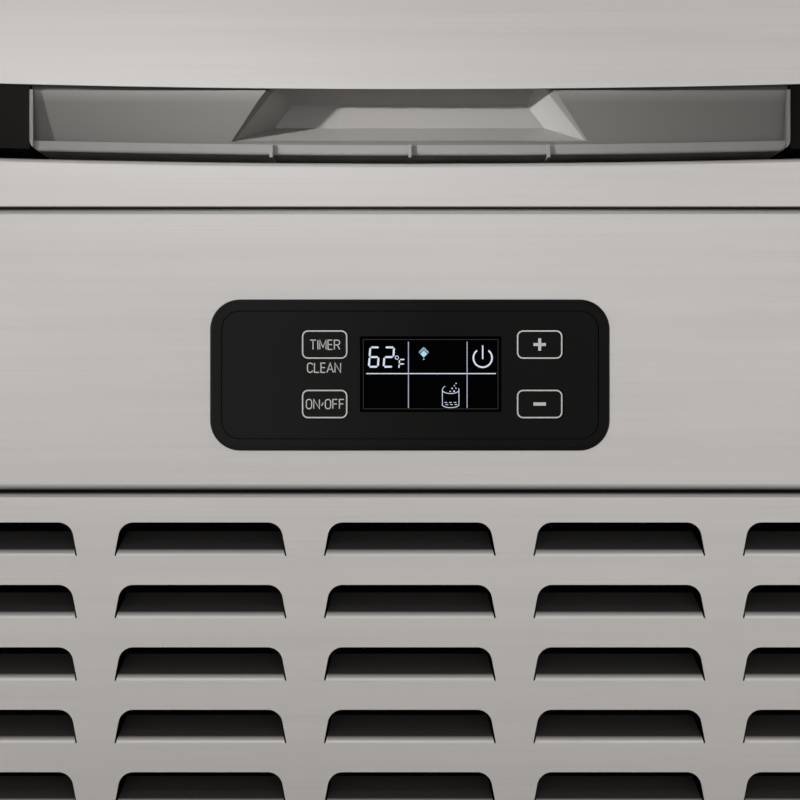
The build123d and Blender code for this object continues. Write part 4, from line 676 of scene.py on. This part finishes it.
lit("display_reading", lcd_white, draw_reading)
lit("display_dividers", lcd_line, draw_dividers)
lit("display_cross_line", lcd_white, draw_cross_line)
lit("display_frame_line", lcd_frame, draw_frame)
lit("display_ice_sign", lcd_cyan, draw_ice_sign)
lit("display_power_sign", lcd_white, draw_power_sign)
lit("display_glass_sign", lcd_white, draw_glass_sign)


# ---- stage ----------------------------------------------------------------------------------------
def floor():
    bpy.ops.mesh.primitive_plane_add(size=12.0, location=(0, 0, 0))
    plane = bpy.context.object
    plane.name = "floor"
    look = Look("floor_paint", Roughness=0.85)
    patches = look.spread(look.noise(1.5, 4.0), 0.0, 1.0)
    look.colour(look.blend(patches, (0.70, 0.695, 0.68), (0.74, 0.735, 0.72)))
    plane.data.materials.append(look.material)


def area_light(name, place, target, size, power, spread=180):
    data = bpy.data.lights.new(name, "AREA")
    data.shape, data.size, data.size_y = "RECTANGLE", size[0], size[1]
    data.energy, data.spread = power, math.radians(spread)
    lamp = bpy.data.objects.new(name, data)
    bpy.context.scene.collection.objects.link(lamp)
    lamp.location = place
    lamp.rotation_euler = (Vector(target) - Vector(place)).to_track_quat("-Z", "Y").to_euler()
    lamp.visible_camera = False


def sky(colour, levels, lean):
    """A studio whose brightness goes by height, 0 at the horizon and 1 overhead, and leans to the left.

    levels are pairs of a height and its brightness.
    """
    world = bpy.data.worlds.new("studio")
    bpy.context.scene.world = world
    world.use_nodes = True
    nodes, links = world.node_tree.nodes, world.node_tree.links
    place = nodes.new("ShaderNodeTexCoord")
    split = nodes.new("ShaderNodeSeparateXYZ")
    links.new(place.outputs["Generated"], split.inputs[0])
    height = nodes.new("ShaderNodeValToRGB")
    links.new(split.outputs["Z"], height.inputs[0])
    stops = height.color_ramp.elements
    while len(stops) < len(levels):
        stops.new(0.5)
    for stop, (position, level) in zip(stops, levels):
        stop.position, stop.color = position, (level, level, level, 1.0)
    across = nodes.new("ShaderNodeMapRange")
    links.new(split.outputs["X"], across.inputs["Value"])
    for name, number in zip(("From Min", "From Max", "To Min", "To Max"), (-1.0, 1.0, 1 + lean, 1 - lean)):
        across.inputs[name].default_value = number
    product = nodes.new("ShaderNodeMath")
    product.operation = "MULTIPLY"
    links.new(height.outputs["Color"], product.inputs[0])
    links.new(across.outputs["Result"], product.inputs[1])
    links.new(product.outputs[0], nodes["Background"].inputs["Strength"])
    nodes["Background"].inputs["Color"].default_value = (*colour, 1)


VIEW_DISTANCE = 0.450  # from the front panels
VIEW_HEIGHT = 0.2947
VIEW_X = -0.0036
FOCAL_LENGTH = 55.7  # on a 36 mm sensor


def camera():
    data = bpy.data.cameras.new("camera")
    data.lens, data.sensor_width = FOCAL_LENGTH, 36.0
    data.clip_start = 0.01
    eye = bpy.data.objects.new("camera", data)
    bpy.context.scene.collection.objects.link(eye)
    eye.location = (VIEW_X, FRONT - VIEW_DISTANCE, VIEW_HEIGHT)
    eye.rotation_euler = (math.radians(90), 0, 0)
    bpy.context.scene.camera = eye


def wash(name, place, size, power, spread):
    """Light straight down on the floor round the machine."""
    area_light(name, place, (place[0], place[1], 0), size, power, spread)


floor()
sky((1.0, 0.99, 0.98), ((0.24, 1.015), (0.62, 0.22), (0.84, 0.22), (0.97, 0.75)), 0.04)
wash("floor_wash", (0, -1.9, 2.4), (2.6, 1.6), 12.3, 70)
wash("back_wash", (0, 2.1, 2.4), (3.0, 1.8), 22.0, 80)
wash("left_wash", (-2.4, 0.3, 2.4), (1.8, 3.0), 22.0, 80)
wash("right_wash", (2.4, 0.3, 2.4), (1.8, 3.0), 22.0, 80)
# a narrow beam from the left, aimed at the grip
area_light("key", (-1.79, -1.02, 0.64), (-0.042, -0.195, 0.402), (0.08, 0.06), 0.074, spread=3.5)
camera()
bpy.context.scene.view_settings.view_transform = "Standard"
